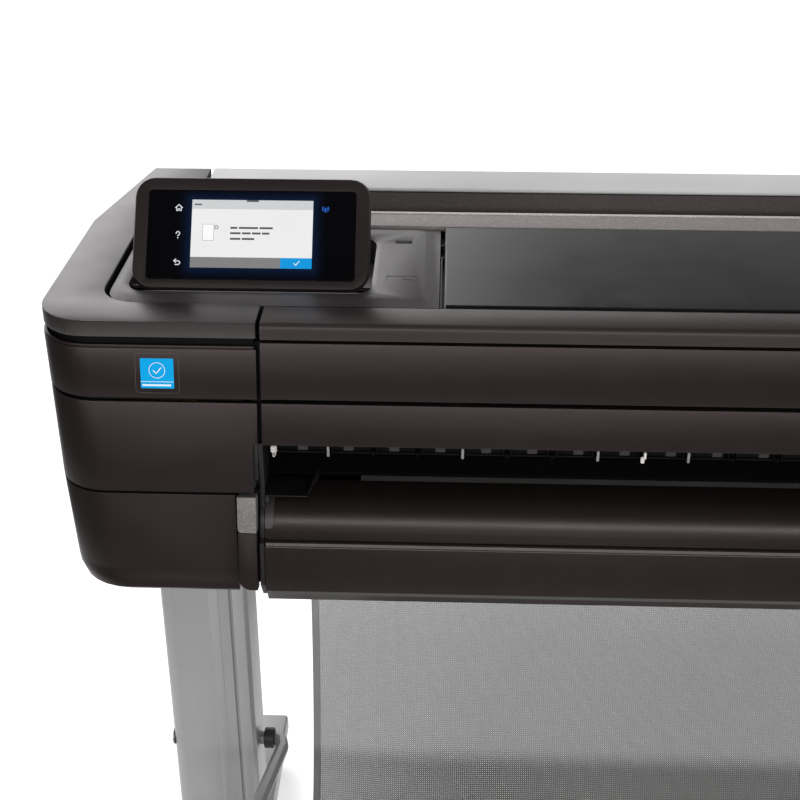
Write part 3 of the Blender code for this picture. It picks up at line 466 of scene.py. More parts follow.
def slot_materials():
    """One material for each of the record's slots."""
    return {
        "dark_cover": finish("cover_brown", COVER, 0.33, fleck=0.05, relief=0.00002, tint=WARM),
        "bronze_cap": finish("cap_bronze", CAP, 0.34, grain=0.0011, relief=0.00007, fleck=0.30, specular=1.0,
                             tint=PALE_WARM),
        "deck": finish("deck_grey", DECK, 0.38, grain=0.0011, relief=0.00005, fleck=0.30, specular=0.9,
                       tint=PALE_WARM),
        "pale_flap": finish("flap_pale", (0.70, 0.70, 0.70), 0.45, relief=0.00003, specular=0.3),
        "panel_housing": finish("housing_black", (0.019, 0.0155, 0.0155), 0.36, relief=0.00002, tint=WARM),
        "touch_glass": glass_black(),
        "window_glass": window_sheet(),
        "latch": finish("latch_silver", (0.17, 0.158, 0.156), 0.42, 0.3, grain=0.0007, fleck=0.4,
                        relief=0.0001),
        "stand_paint": finish("stand_silver", (0.33, 0.33, 0.33), 0.36, 0.35, relief=0.00002, fleck=0.08),
        "caster_plastic": finish("caster_black", (0.02, 0.02, 0.02), 0.5, grain=0.0006),
        "caster_wheel": finish("tyre_black", (0.026, 0.026, 0.026), 0.72, grain=0.0009, relief=0.0001),
        "bin_mesh": finish("mesh_plain", (0.32, 0.32, 0.32), 0.8),
        "steel": finish("steel_plate", (0.35, 0.35, 0.35), 0.36, 0.9, relief=0.00001,
                        streak=(3.0, 900.0, 900.0)),
        "black_plastic": finish("inner_black", (0.0030, 0.0026, 0.0026), 0.55, grain=0.0006, specular=0.10),
        "belt_rubber": finish("belt_black", (0.012, 0.012, 0.012), 0.7),
        "roller_rubber": finish("roller_black", (0.02, 0.02, 0.02), 0.75, grain=0.0005, relief=0.0001),
        "grey_roller": finish("roller_grey", (0.10, 0.10, 0.10), 0.5),
        "paper": finish("paper_white", (0.78, 0.78, 0.75), 0.85, grain=0.0004, relief=0.00003, mottle=0.03),
        "ink_cyan": finish("ink_cyan", (0.01, 0.20, 0.45), 0.4),
        "ink_magenta": finish("ink_magenta", (0.42, 0.02, 0.12), 0.4),
        "ink_yellow": finish("ink_yellow", (0.70, 0.45, 0.01), 0.4),
        "ink_black": finish("ink_black", (0.02, 0.02, 0.02), 0.4),
    }


def glass_black():
    """Polished black sheet with a faint blue glow round the lit display."""
    g = Graph("glass_black")
    low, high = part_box("touch_glass")
    middle = (low + high) / 2
    local = g.place(turn=(PANEL_TILT - math.pi / 2, 0, 0),
                    shift=-(Matrix.Rotation(PANEL_TILT - math.pi / 2, 3, "X") @ middle))
    parts = g.node("ShaderNodeSeparateXYZ", {0: local}).outputs
    across = g.math("MAXIMUM", g.math("SUBTRACT", g.math("ABSOLUTE", parts[0]), 0.0485), 0.0)
    rise = g.math("ABSOLUTE", g.math("SUBTRACT", parts[1], 0.001))
    above = g.math("MAXIMUM", g.math("SUBTRACT", rise, 0.0278), 0.0)
    far = g.math("SQRT", g.math("ADD", g.math("POWER", across, 2.0), g.math("POWER", above, 2.0)))
    glow = g.math("POWER", g.remap(far, 0.0, 0.014, 1.0, 0.0), 2.5)
    g.put(g.shader, "Base Color", g.mix(g.noise(60.0), (0.0015, 0.0015, 0.002, 1), (0.003, 0.003, 0.004, 1)))
    g.put(g.shader, "Roughness", g.remap(g.noise(25.0, 4.0), 0.3, 0.7, 0.05, 0.11))
    g.put(g.shader, "Specular IOR Level", 0.12)
    g.put(g.shader, "Emission Color", g.mix(glow, (0.0, 0.0, 0.0, 1), (0.008, 0.030, 0.11, 1)))
    g.put(g.shader, "Emission Strength", 0.3)
    return g.mat


def window_sheet():
    """Smoked sheet, hazed by handling."""
    g = Graph("window_smoke")
    g.put(g.shader, "Base Color",
          g.mix(g.noise(3.0, 2.0), (0.012, 0.013, 0.013, 1), (0.016, 0.017, 0.017, 1)))
    g.put(g.shader, "Roughness", g.remap(g.noise(22.0, 5.0), 0.3, 0.7, 0.14, 0.24))
    g.put(g.shader, "Specular IOR Level", 0.29)
    g.put(g.shader, "Normal", g.bump(g.noise(9.0, 1.0), 0.00003))
    return g.mat


def rear_deck_painted_light():
    """Mid grey strip, a painted highlight on the bright lip and painted shade in the dark trough, told apart
    by their distance from the front.
    """
    base = finish("deck_grey", DECK, 0.31)
    item = base.copy()
    item.name = "rear_deck_grey"
    tree = item.node_tree
    shader = tree.nodes["Principled BSDF"]
    old = shader.inputs["Base Color"].links[0].from_socket
    coords = tree.nodes.new("ShaderNodeTexCoord")
    parts = tree.nodes.new("ShaderNodeSeparateXYZ")
    tree.links.new(coords.outputs["Object"], parts.inputs[0])
    # Painted light by distance from the front: the strip keeps its grey, the lip is brightened as a painted
    # highlight and the trough is darkened as painted shade.
    ramp = tree.nodes.new("ShaderNodeValToRGB")
    ramp.color_ramp.interpolation = "CONSTANT"
    stops = ramp.color_ramp.elements
    stops[0].position, stops[0].color = 0.0, (8.5, 8.5, 8.5, 1)
    stops[1].position, stops[1].color = 0.296, (18.0, 18.0, 18.0, 1)
    last = stops.new(0.337)
    last.color = (2.2, 2.05, 2.05, 1)
    span = tree.nodes.new("ShaderNodeMapRange")
    span.inputs["From Max"].default_value = 0.1
    tree.links.new(parts.outputs["Y"], span.inputs["Value"])
    tree.links.new(span.outputs[0], ramp.inputs[0])
    blend = tree.nodes.new("ShaderNodeVectorMath")
    blend.operation = "MULTIPLY"
    tree.links.new(old, blend.inputs[0])
    tree.links.new(ramp.outputs[0], blend.inputs[1])
    tree.links.new(blend.outputs[0], shader.inputs["Base Color"])
    return item


def roll_cover_finish():
    """Cover plastic with fine drawn lines that run round the curve."""
    return finish("cover_drawn", COVER, 0.33, relief=0.00002, tint=WARM, streak=(1400.0, 2.0, 2.0))


# ---------------------------------------------------------------- CAD nodes

def smooth_group():
    """Modifier group: smooth faces, with edges sharper than the angle kept sharp."""
    group = bpy.data.node_groups.new("smooth_by_angle", "GeometryNodeTree")
    group.interface.new_socket("Geometry", in_out="INPUT", socket_type="NodeSocketGeometry")
    group.interface.new_socket("Geometry", in_out="OUTPUT", socket_type="NodeSocketGeometry")
    enter = group.nodes.new("NodeGroupInput")
    leave = group.nodes.new("NodeGroupOutput")
    angle = group.nodes.new("GeometryNodeInputMeshEdgeAngle")
    test = group.nodes.new("FunctionNodeCompare")
    test.data_type = "FLOAT"
    test.operation = "LESS_THAN"
    test.inputs[1].default_value = math.radians(32)
    edges = group.nodes.new("GeometryNodeSetShadeSmooth")
    edges.domain = "EDGE"
    faces = group.nodes.new("GeometryNodeSetShadeSmooth")
    faces.domain = "FACE"
    link = group.links.new
    link(angle.outputs[0], test.inputs[0])
    link(enter.outputs[0], edges.inputs["Geometry"])
    link(test.outputs[0], edges.inputs["Shade Smooth"])
    link(edges.outputs[0], faces.inputs["Geometry"])
    faces.inputs["Shade Smooth"].default_value = True
    link(faces.outputs[0], leave.inputs[0])
    return group


SMOOTH = smooth_group()
EDGE_ROUND = {
    "left_top_cap": 2.2, "right_top_cap": 2.2, "console_deck": 0.8, "window_frame": 1.0,
    "control_panel_housing": 0.8, "sheet_support_flap": 0.6, "cross_brace": 1.5, "foot_left": 3.0,
    "foot_right": 3.0, "roll_cover": 0.5, "carriage": 1.5, "window_glass": 0.4, "touch_glass": 0.3,
    "ink_door": 0.9, "right_middle_cover": 0.9, "left_lower_cover": 0.9, "right_lower_cover": 0.9,
    "left_upper_cover": 0.9, "right_upper_cover": 0.9, "front_panel_upper": 0.5,
    "front_panel_lower": 0.5, "rear_deck": 0.4, "rear_cover": 0.5, "leg_left": 0.6, "leg_right": 0.6,
    "service_station": 0.8, "ink_cartridge_cyan": 1.0, "ink_cartridge_magenta": 1.0,
    "ink_cartridge_yellow": 1.0, "ink_cartridge_black": 1.0,
}


def round_edges(item, width):
    weld = item.modifiers.new("Weld", "WELD")
    weld.merge_threshold = 0.00001
    if width:
        bevel = item.modifiers.new("Bevel", "BEVEL")
        bevel.width = width * MM
        bevel.segments = 3
        bevel.limit_method = "ANGLE"
        bevel.angle_limit = math.radians(32)
        bevel.use_clamp_overlap = True
        bevel.harden_normals = False
    smoother = item.modifiers.new("Smooth", "NODES")
    smoother.node_group = SMOOTH


def dress_cad_nodes():
    slots = {row["node"]: row["material_slot"] for row in frame["record"]["subparts"]}
    # Platen and spindle are painted near-black: painted shade of the dark inside of the slot, where they are
    # seen.
    slot_shade_black = finish("slot_interior_painted_shade", (0.0016, 0.0014, 0.0014), 0.6, grain=0.0006, specular=0.06)
    special = {"rear_deck": rear_deck_painted_light(), "roll_cover": roll_cover_finish(), "platen": slot_shade_black,
               "spindle": slot_shade_black,
               "window_frame": finish("lip_brown", LIP, 0.42, relief=0.00002, tint=WARM)}
    for name, item in frame["nodes"].items():
        item.data.materials.clear()
        item.data.materials.append(special.get(name, FINISH_OF[slots[name]]))
        round_edges(item, EDGE_ROUND.get(name, 0))


# ---------------------------------------------------------------- places shared with the CAD

FACE_ORIGIN = Vector((0.0, -0.209, 0.877))
FACE_UP = Vector((0.0, math.sin(FACE_LEAN), math.cos(FACE_LEAN)))
FACE_OUT = Vector((0.0, -math.cos(FACE_LEAN), math.sin(FACE_LEAN)))
FACE = Matrix.Translation(FACE_ORIGIN) @ Matrix((Vector((1, 0, 0)), FACE_UP, FACE_OUT)).transposed().to_4x4()
CORNER_R = 0.041
PANEL_X = -0.546
PANEL_HINGE = Vector((PANEL_X, -0.1231, 0.8810))
GLASS_RISE = -0.0015


def lean_y(z):
    return FACE_ORIGIN.y - (FACE_ORIGIN.z - z) * math.tan(FACE_LEAN)


def climb(z):
    """Distance up the leaning front plane, from the cap's edge, of a height."""
    return (z - FACE_ORIGIN.z) / math.cos(FACE_LEAN)


def column_line(z, inset, inner_x):
    front = lean_y(z) + inset
    out = 0.7020 - (0.875 - z) * 0.080 - inset
    r = CORNER_R - inset
    return ([(inner_x, front)] + arc(out - r, front + r, r, -90, 0, 7)
            + [(out, 0.0025), (out - 0.0265, 0.1455)])


def panel_matrix():
    """Local X right, local Y up the face and local Z out of the face, from the glass's centre."""
    up = Vector((0, math.sin(PANEL_TILT), math.cos(PANEL_TILT)))
    out = Vector((0, -math.cos(PANEL_TILT), math.sin(PANEL_TILT)))
    centre = PANEL_HINGE + up * (0.0925 / 2 - 0.004 + GLASS_RISE) + out * 0.0125
    return Matrix.Translation(centre) @ Matrix((Vector((1, 0, 0)), up, out)).transposed().to_4x4()


# ---------------------------------------------------------------- control panel

GLASS_TOP = -0.0004
LCD = Vector((0.0003, 0.0010))
LCD_W = 0.097
LCD_H = 0.0555


def panel_piece(name, material, draw, level=1):
    """Thin printed or lit layer on the touch glass; draw gets the shape and its two heights."""
    shape = Shape(panel_matrix())
    draw(shape, GLASS_TOP - 0.0002, GLASS_TOP + 0.00008 * level)
    return piece(name, shape, [material], "control_panel")


def lcd_box(shape, x0, y0, x1, y1, lo, hi):
    outline = rounded_rect(LCD.x + x0, LCD.y + y0, LCD.x + x1, LCD.y + y1, 0.0002, 1)
    shape.prism(outline, "Z", lo, hi)


def add_display():
    half = LCD_W / 2

    def page(shape, lo, hi):
        lcd_box(shape, -half, -0.0192, half, 0.0202, lo, hi)

    def header(shape, lo, hi):
        lcd_box(shape, -half, 0.0202, half, LCD_H / 2, lo, hi)

    def footer(shape, lo, hi):
        lcd_box(shape, -half, -LCD_H / 2, 0.0234, -0.0192, lo, hi)

    def button(shape, lo, hi):
        lcd_box(shape, 0.0234, -LCD_H / 2, half, -0.0192, lo, hi)

    def tick(shape, lo, hi):
        x, y = LCD.x + 0.0345, LCD.y - 0.0236
        shape.line([(x, y), (x + 0.0013, y - 0.0014), (x + 0.0040, y + 0.0018)], 0.0006, lo, hi)

    def dark_marks(shape, lo, hi):
        lcd_box(shape, -0.0049, 0.0263, 0.0048, LCD_H / 2, lo, hi)
        lcd_box(shape, -0.0465, 0.0232, -0.0407, 0.0244, lo, hi)

    def bars(shape, lo, hi):
        for y, words in ((0.0049, (0.0068, 0.0165, 0.0118)), (0.0005, (0.0095, 0.0080, 0.0080, 0.0070)),
                         (-0.0041, (0.0095, 0.0110))):
            x = -0.0173
            for width in words:
                lcd_box(shape, x, y - 0.0008, x + width - 0.0011, y + 0.0008, lo, hi)
                x += width

    def page_icon(shape, lo, hi):
        lcd_box(shape, -0.0395, -0.0058, -0.0303, 0.0078, lo, hi)
        ring = [(0.0019, lo), (0.0019, hi), (0.0008, hi), (0.0008, lo)]
        shape.turn(ring, (LCD.x - 0.0285, LCD.y + 0.0052, 0.0), "Z", 16, closed=True)

    def page_fill(shape, lo, hi):
        lcd_box(shape, -0.0391, -0.0054, -0.0307, 0.0074, lo, hi)

    panel_piece("display_page", lit("lcd_page", 236, 236, 236), page)
    panel_piece("display_header", lit("lcd_header", 205, 207, 208), header)
    panel_piece("display_footer", lit("lcd_footer", 128, 128, 128), footer)
    panel_piece("display_button", lit("lcd_button", 0, 150, 220), button)
    panel_piece("display_tick", lit("lcd_tick", 240, 246, 250), tick, 2)
    panel_piece("display_marks", lit("lcd_marks", 88, 90, 92), dark_marks, 2)
    panel_piece("display_bars", lit("lcd_bars", 85, 85, 85), bars, 2)
    panel_piece("display_icon", lit("lcd_icon", 172, 174, 176), page_icon, 2)
    panel_piece("display_icon_fill", lit("lcd_white", 250, 250, 250), page_fill, 3)


def add_keys():
    """Backlit home, help and back keys, and a wireless mark."""
    x = -0.0588

    def keys(shape, lo, hi):
        w = 0.0007
        y = 0.0220
        shape.line([(x - 0.0027, y), (x, y + 0.0025), (x + 0.0027, y)], w, lo, hi)
        shape.line([(x - 0.0018, y), (x - 0.0018, y - 0.0024), (x - 0.0007, y - 0.0024),
                    (x - 0.0007, y - 0.0010), (x + 0.0007, y - 0.0010), (x + 0.0007, y - 0.0024),
                    (x + 0.0018, y - 0.0024), (x + 0.0018, y)], w * 0.9, lo, hi)
        y = -0.0003
        shape.line(arc(x, y + 0.0012, 0.0014, 185, -60, 8) + [(x, y - 0.0008)], w, lo, hi)
        shape.turn([(0.0005, lo), (0.0005, hi)], (x, y - 0.0024, 0.0), "Z", 12)
        y = -0.0228
        shape.line([(x - 0.0022, y + 0.0012)] + arc(x + 0.0009, y - 0.0003, 0.0015, 90, -90, 7)
                   + [(x - 0.0012, y - 0.0018)], w, lo, hi)
        shape.line([(x - 0.0009, y + 0.0026), (x - 0.0024, y + 0.0012), (x - 0.0009, y - 0.0002)], w, lo, hi)

    def wireless(shape, lo, hi):
        cx, cy = 0.0587, 0.0219
        for r in (0.0014, 0.0026):
            shape.line(arc(cx, cy + 0.0004, r, -42, 42, 6), 0.00042, lo, hi)
            shape.line(arc(cx, cy + 0.0004, r, 138, 222, 6), 0.00042, lo, hi)
        shape.line([(cx - 0.0008, cy - 0.0024), (cx, cy), (cx + 0.0008, cy - 0.0024)], 0.0004, lo, hi)
        shape.turn([(0.0005, lo), (0.0005, hi)], (cx, cy + 0.0005, 0.0), "Z", 12)

    panel_piece("panel_keys", lit("key_white", 225, 228, 232), keys)
    panel_piece("panel_wireless", lit("key_blue", 40, 110, 215), wireless)


def add_panel_back():
    """Ribs and screws on the panel's rear shell."""
    shape = Shape(panel_matrix())
    back = -0.016
    for x in (-0.060, -0.040, -0.020, 0.0, 0.020, 0.040, 0.060):
        shape.box((x - 0.0012, -0.022, back - 0.0010), (x + 0.0012, 0.022, back + 0.001), 0.0004)
    for x in (-0.080, 0.080):
        for y in (-0.030, 0.032):
            shape.turn([(0.0030, back + 0.0005), (0.0030, back - 0.0006), (0.0016, back - 0.0008),
                        (0.0, back - 0.0003)], (x, y, 0.0), "Z", 14)
    piece("panel_back_ribs", shape, [FINISH_OF["panel_housing"]], "control_panel")


# ---------------------------------------------------------------- deck and columns

def add_groove_liner():
    """Black lining of the groove round the console deck's outer corner."""
    x0, y0, r = -0.655, -0.169, 0.0265

    def wall(gap):
        return [(x0 - gap, -0.0035)] + arc(x0 + r, y0 + r, r + gap, 180, 270, 8) + [(-0.396, y0 - gap)]

    shape = Shape()
    shape.loft([[(*a, 0.8680), (*b, 0.8680), (*b, 0.8762), (*a, 0.8762)]
                for a, b in zip(wall(0.0075), wall(0.0004))])
    piece("deck_groove_liner", shape, [FINISH_OF["black_plastic"]])


def add_gap_strip():
    """Strip between the console deck and the window."""
    shape = Shape()
    shape.box((-0.3950, -0.1685, 0.8640), (-0.3920, -0.0035, 0.8795))
    shape.box((-0.3948, -0.1680, 0.8790), (-0.3936, -0.0640, 0.8862), 0.0003)
    for y in (-0.0630, -0.0370):
        shape.box((-0.3951, y - 0.0008, 0.8790), (-0.3919, y + 0.0008, 0.8858), 0.0003)
    piece("deck_gap_strip", shape, [finish("gap_brown", (0.014, 0.012, 0.012), 0.4)])


def add_stick_mark():
    """Plain outline of a memory stick, beside its slot."""
    span = (DECK_TOP - 0.0003, DECK_TOP + 0.00015)
    outline = arc(-0.4367, -0.1125, 0.0015, 180, 90, 4) + arc(-0.4150, -0.1125, 0.0015, 90, 0, 4)
    shape = Shape()
    shape.line([(-0.4382, -0.1205)] + outline + [(-0.4135, -0.1205)], 0.0005, *span)
    shape.line([(-0.4245, -0.1160), (-0.4200, -0.1175)], 0.0020, *span)
    shape.line([(-0.4190, -0.1179), (-0.4178, -0.1183)], 0.0012, *span)
    piece("deck_stick_mark", shape, [finish("mark_grey", (0.045, 0.040, 0.038), 0.45)])


def add_usb_port():
    shape = Shape()
    shape.border("Z", (-0.4334, -0.0397), (-0.4200, -0.0338), 0.0003, (0.8790, 0.8860))
    shape.box((-0.4320, -0.0366, 0.8760), (-0.4214, -0.0350, 0.8840), 0.0002)
    piece("usb_port", shape, [FINISH_OF["steel"]])


def add_hinge_collars():
    shape = Shape()
    for side in SIDES:
        shape.turn([(0.0034, -0.0020), (0.0036, -0.0010), (0.0036, 0.0010), (0.0034, 0.0020)],
                   (PANEL_X + side * 0.1015, PANEL_HINGE.y, PANEL_HINGE.z), "X", 20)
    piece("panel_hinge_collars", shape, [FINISH_OF["deck"]])


def column_band(shape, side, z0, z1, inset, depth, inner_x):
    rings = []
    for z in (z0, z1):
        outer = column_line(z, inset, inner_x)
        inner = column_line(z, inset + depth, inner_x)
        rings.append([(side * x, y, z) for x, y in outer + inner[::-1]])
    shape.loft(rings)


def add_seam_backing():
    """Black strips behind the covers' joints, so that nothing inside shows through them."""
    black = FINISH_OF["black_plastic"]
    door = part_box("ink_door")
    for side, word in NAMED_SIDES:
        shape = Shape()
        column_band(shape, side, door[1].z + 0.0004, 0.8360, 0.0032, 0.0014, 0.5425)
        column_band(shape, side, 0.7520, door[0].z - 0.0004, 0.0032, 0.0014, 0.5510)
        column_band(shape, side, 0.8640, 0.8765, 0.0045, 0.0014, 0.5345)
        piece(f"seam_backing_{word}", shape, [black])
        shape = Shape()
        column_band(shape, side, 0.8690, 0.8717, 0.0005, 0.0022, 0.5335)
        piece(f"cover_top_rim_{word}", shape, [FINISH_OF["dark_cover"]], bevel=0.4)
        shape = Shape(FACE)
        x0, x1 = sorted((side * 0.5240, side * 0.5365))
        shape.box((x0, climb(0.7970), -0.0088), (x1, climb(0.8740), -0.0072))
        piece(f"front_seam_backing_{word}", shape, [black])


COVER_R = 0.032
COVER_ROUND = (-0.206, 0.718)


def cheek_profile(inset):
    """Inner wall of the column beside the roll cover and the output slot."""
    low = lean_y(0.697) - 0.002
    return ([(-0.1860, 0.7955), (-0.2228, 0.7955), (-0.2245 + inset, 0.7560)]
            + arc(*COVER_ROUND, COVER_R - inset, 130, 180, 4)
            + [(lean_y(0.7151) + inset, 0.7151), (low + inset, 0.6800), (-0.2380 + inset, 0.6640),
               (-0.2190, 0.6545), (-0.1950, 0.6530), (-0.1860, 0.6530)])


def add_cheeks():
    dark = finish("cheek_brown", (0.012, 0.010, 0.010), 0.42)
    for side, word in NAMED_SIDES:
        shape = Shape()
        lo, hi = sorted((side * 0.5291, side * 0.5330))
        shape.prism(cheek_profile(0.0030), "X", lo, hi)
        lo, hi = sorted((side * 0.5330, side * 0.5376))
        shape.prism([(-0.1860, 0.7940), (-0.2215, 0.7940), (-0.2270, 0.7650), (-0.1860, 0.7650)], "X", lo, hi)
        piece(f"column_cheek_{word}", shape, [dark], bevel=0.3)
        shape = Shape(FACE)
        lo, hi = sorted((side * 0.5331, side * 0.5503))
        shape.box((lo, climb(0.6800), -0.0152), (hi, climb(0.7565), -0.0132))
        piece(f"latch_backing_{word}", shape, [FINISH_OF["black_plastic"]])


def add_latches():
    """Silver grip above a dark strip, standing a little proud of the sunk column."""
    for side, word in NAMED_SIDES:
        far, near = side * 0.5492, side * 0.5344

        def outline(v0, v1, r):
            corner = arc(far - side * r, v0 + r, r, 180 if side < 0 else 0, 270 if side < 0 else -90, 7)
            return [(near, v1), (far, v1)] + corner + [(near, v0)]

        shape = Shape(FACE)
        shape.prism(outline(climb(0.6785), climb(0.7258), 0.0095), "Z", -0.0095, 0.0007)
        shape.paint = 1
        shape.prism(outline(climb(0.7263), climb(0.7549), 0.0032), "Z", -0.0095, 0.0019)
        item = piece(f"latch_{word}", shape, [FINISH_OF["dark_cover"], FINISH_OF["latch"]],
                     f"{word}_latch", bevel=0.45)
        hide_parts(f"{word}_cover_latch")


def add_sticker():
    """Plain blue label with bars, in a fine moulded outline."""
    middle = -0.6071
    low, high = climb(0.8390), climb(0.8618)
    shape = Shape(FACE)
    shape.prism(rounded_rect(middle - 0.0126, low, middle + 0.0126, high, 0.0004, 2), "Z", -0.0003, 0.00015)
    piece("label_blue", shape, [finish("label_blue", (0.004, 0.32, 0.67), 0.5, mottle=0.04, specular=0.03)])
    shape = Shape(FACE)
    lift = 0.00028
    cy = (low + high) / 2
    shape.line(arc(middle, cy + 0.0024, 0.0060, 0, 360, 28), 0.0005, 0.0, lift)
    tick = [(middle - 0.0028, cy + 0.0022), (middle - 0.0007, cy - 0.0001), (middle + 0.0031, cy + 0.0044)]
    shape.line(tick, 0.0007, 0.0, lift)
    shape.line([(middle - 0.0124, low + 0.0052), (middle + 0.0124, low + 0.0052)], 0.0004, 0.0, lift)
    for i in range(7):
        x = middle - 0.0108 + i * 0.0031
        shape.line([(x, low + 0.0025), (x + 0.0018, low + 0.0025)], 0.0014, 0.0, lift)
    piece("label_marks", shape, [finish("label_white", (0.70, 0.78, 0.84), 0.5)])
    shape = Shape(FACE)
    edge = rounded_rect(middle - 0.0165, low - 0.0036, middle + 0.0165, high + 0.0038, 0.003, 4)
    shape.line(edge + edge[:1], 0.00035, -0.0003, 0.00012)
    piece("label_outline", shape, [finish("outline_brown", (0.060, 0.054, 0.048), 0.4)])


# ---------------------------------------------------------------- output slot and roll cover

STAR_X0, STAR_PITCH, STAR_COUNT = -0.4803, 0.035, 28
STAR_Y, STAR_Z = -0.196, 0.7735
STARS = spread(STAR_X0, STAR_PITCH, STAR_COUNT)


def add_output_ribs():
    shape = Shape()
    shape.row(spread(STAR_X0 - STAR_PITCH / 2, STAR_PITCH, STAR_COUNT + 1),
              (-0.0038, -0.2240, 0.7912), (0.0038, -0.2045, 0.7962), 0.0004)
    piece("output_ribs", shape, [finish("rib_brown", (0.018, 0.015, 0.015), 0.4)])


def add_star_bar():
    """Bar over the slot, with a pair of arms for each star wheel."""
    shape = Shape()
    shape.box((-0.5275, -0.2035, 0.7845), (0.5275, -0.1955, 0.7960), 0.0005)
    shape.row([x + dx for x in STARS for dx in (-0.0032, 0.0032)],
              (-0.0006, -0.2005, 0.7745), (0.0006, -0.1925, 0.7825), 0.0003)
    piece("star_wheel_bar", shape, [FINISH_OF["black_plastic"]])


def add_slot_curtain():
    """Dark wall behind the star wheels, so that nothing inside shows through the slot: painted shade, a dark
    sheet standing in for the shade inside the slot.
    """
    shape = Shape()
    shape.box((-0.5280, -0.1888, 0.7705), (0.5280, -0.1874, 0.8270), 0.0003)
    shape.row([x for x in spread(STAR_X0, STAR_PITCH / 2, STAR_COUNT * 2) if x < 0.52],
              (-0.0006, -0.1900, 0.7720), (0.0006, -0.1886, 0.8200))
    # Near-black finish: painted shade of the slot's dark inside.
    piece("slot_curtain", shape, [finish("slot_painted_shade_black", (0.004, 0.0038, 0.0038), 0.5, specular=0.15)])


def add_star_wheels():
    """Shaft with a hub and a toothed disc at each place."""
    teeth = [(STAR_Y + (0.0055 if k % 2 else 0.0047) * math.cos(math.pi * k / 9),
              STAR_Z + (0.0055 if k % 2 else 0.0047) * math.sin(math.pi * k / 9)) for k in range(18)]
    shape = Shape()
    shape.rod((-0.5365, STAR_Y, STAR_Z), (0.5365, STAR_Y, STAR_Z), 0.0012, 8)
    for x in STARS:
        shape.turn([(0.0026, -0.0016), (0.0030, -0.0010), (0.0030, 0.0010), (0.0026, 0.0016)],
                   (x, STAR_Y, STAR_Z), "X", 12)
        shape.prism(teeth, "X", x - 0.0002, x + 0.0002)
    black = finish("star_black", (0.0035, 0.0032, 0.0032), 0.55, specular=0.08)
    item = piece("star_wheel_set", shape, [black], "star_wheels")
    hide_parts("star_wheel_shaft")


def add_star_springs():
    shape = Shape()
    shape.row([STARS[i] for i in (0, 3, 6, 8, 13, 17, 22)],
              (-0.0010, -0.2060, 0.7750), (0.0010, -0.2044, 0.7840), 0.0003)
    x = STARS[7]
    shape.paint = 1
    shape.box((x - 0.0020, -0.2075, 0.7745), (x + 0.0010, -0.2050, 0.7800), 0.0006)
    shape.box((x + 0.0002, -0.2070, 0.7780), (x + 0.0022, -0.2050, 0.7840), 0.0004)
    piece("star_springs", shape, [finish("spring_grey", (0.30, 0.29, 0.28), 0.35, 0.4),
                                  finish("spring_bright", (0.60, 0.58, 0.56), 0.3)])


def add_slot_clip():
    shape = Shape()
    shape.box((-0.5232, -0.2215, 0.7868), (-0.5185, -0.2185, 0.7925), 0.0006)
    shape.box((-0.5222, -0.2205, 0.7835), (-0.5193, -0.2180, 0.7880), 0.0005)
    shape.box((-0.5215, -0.2240, 0.7845), (-0.5198, -0.2200, 0.7862), 0.0003)
    piece("slot_clip", shape, [finish("clip_white", (0.45, 0.43, 0.42), 0.4)])


def add_platen_ribs():
    shape = Shape()
    shape.row([x for x in spread(-0.4980, 0.0175, 56) if x < 0.515],
              (-0.0007, -0.1700, 0.7650), (0.0007, -0.0900, 0.7668), 0.0003)
    piece("platen_ribs", shape, [FINISH_OF["black_plastic"]])


def cover_shell(shape, x0, x1, lift, start, end, corner):
    """Skin over the roll cover's round, its inner lower corner rounded off."""
    columns = 8
    rings = []
    for i in range(columns + 1):
        t = i / columns
        x = x0 + (x1 - x0) * t
        reach = max(0.0, (t - 0.55) / 0.45)
        stop = end - corner * (1 - math.sqrt(max(0.0, 1 - reach * reach)))
        outer = arc(*COVER_ROUND, COVER_R + lift, start, stop, 10)
        inner = arc(*COVER_ROUND, COVER_R - 0.0004, start, stop, 10)
        rings.append([(x, y, z) for y, z in outer + inner[::-1]])
    shape.loft(rings)


def add_cover_sides():
    """Tab and paper guide at each end of the roll cover."""
    tab = finish("tab_brown", (0.026, 0.0215, 0.021), 0.40)
    for side, word in NAMED_SIDES:
        shape = Shape()
        cover_shell(shape, side * 0.5284, side * 0.5215, 0.0006, 92, 163, 8.0)
        piece(f"cover_tab_{word}", shape, [tab], "roll_cover")
        shape = Shape()
        a, b, c = side * 0.5284, side * 0.4905, side * 0.4965
        low, high = 0.7508, 0.7518
        plan = [(a, -0.1985), (a, -0.2270), (c, -0.2270), (b, -0.1985)]
        shape.loft([[(x, y, low) for x, y in plan], [(x, y, high) for x, y in plan]])
        rise = 0.0085
        shape.loft([[(c, -0.2270, low), (c, -0.2270, high), (c - side * 0.0010, -0.2268, high),
                     (c - side * 0.0010, -0.2268, low)],
                    [(b, -0.1985, low), (b, -0.1985, low + rise), (b - side * 0.0022, -0.1985, low + rise),
                     (b - side * 0.0022, -0.1985, low)]])
        shape.loft([[(a, -0.1985, low), (a, -0.2270, low), (a, -0.2262, 0.7430), (a, -0.1985, 0.7490)],
                    [(a - side * 0.003, -0.1985, low), (a - side * 0.003, -0.2270, low),
                     (a - side * 0.003, -0.2262, 0.7430), (a - side * 0.003, -0.1985, 0.7490)]])
        piece(f"exit_guide_{word}", shape, [finish("guide_black", (0.009, 0.0075, 0.0075), 0.38)],
              "roll_cover", bevel=0.3)


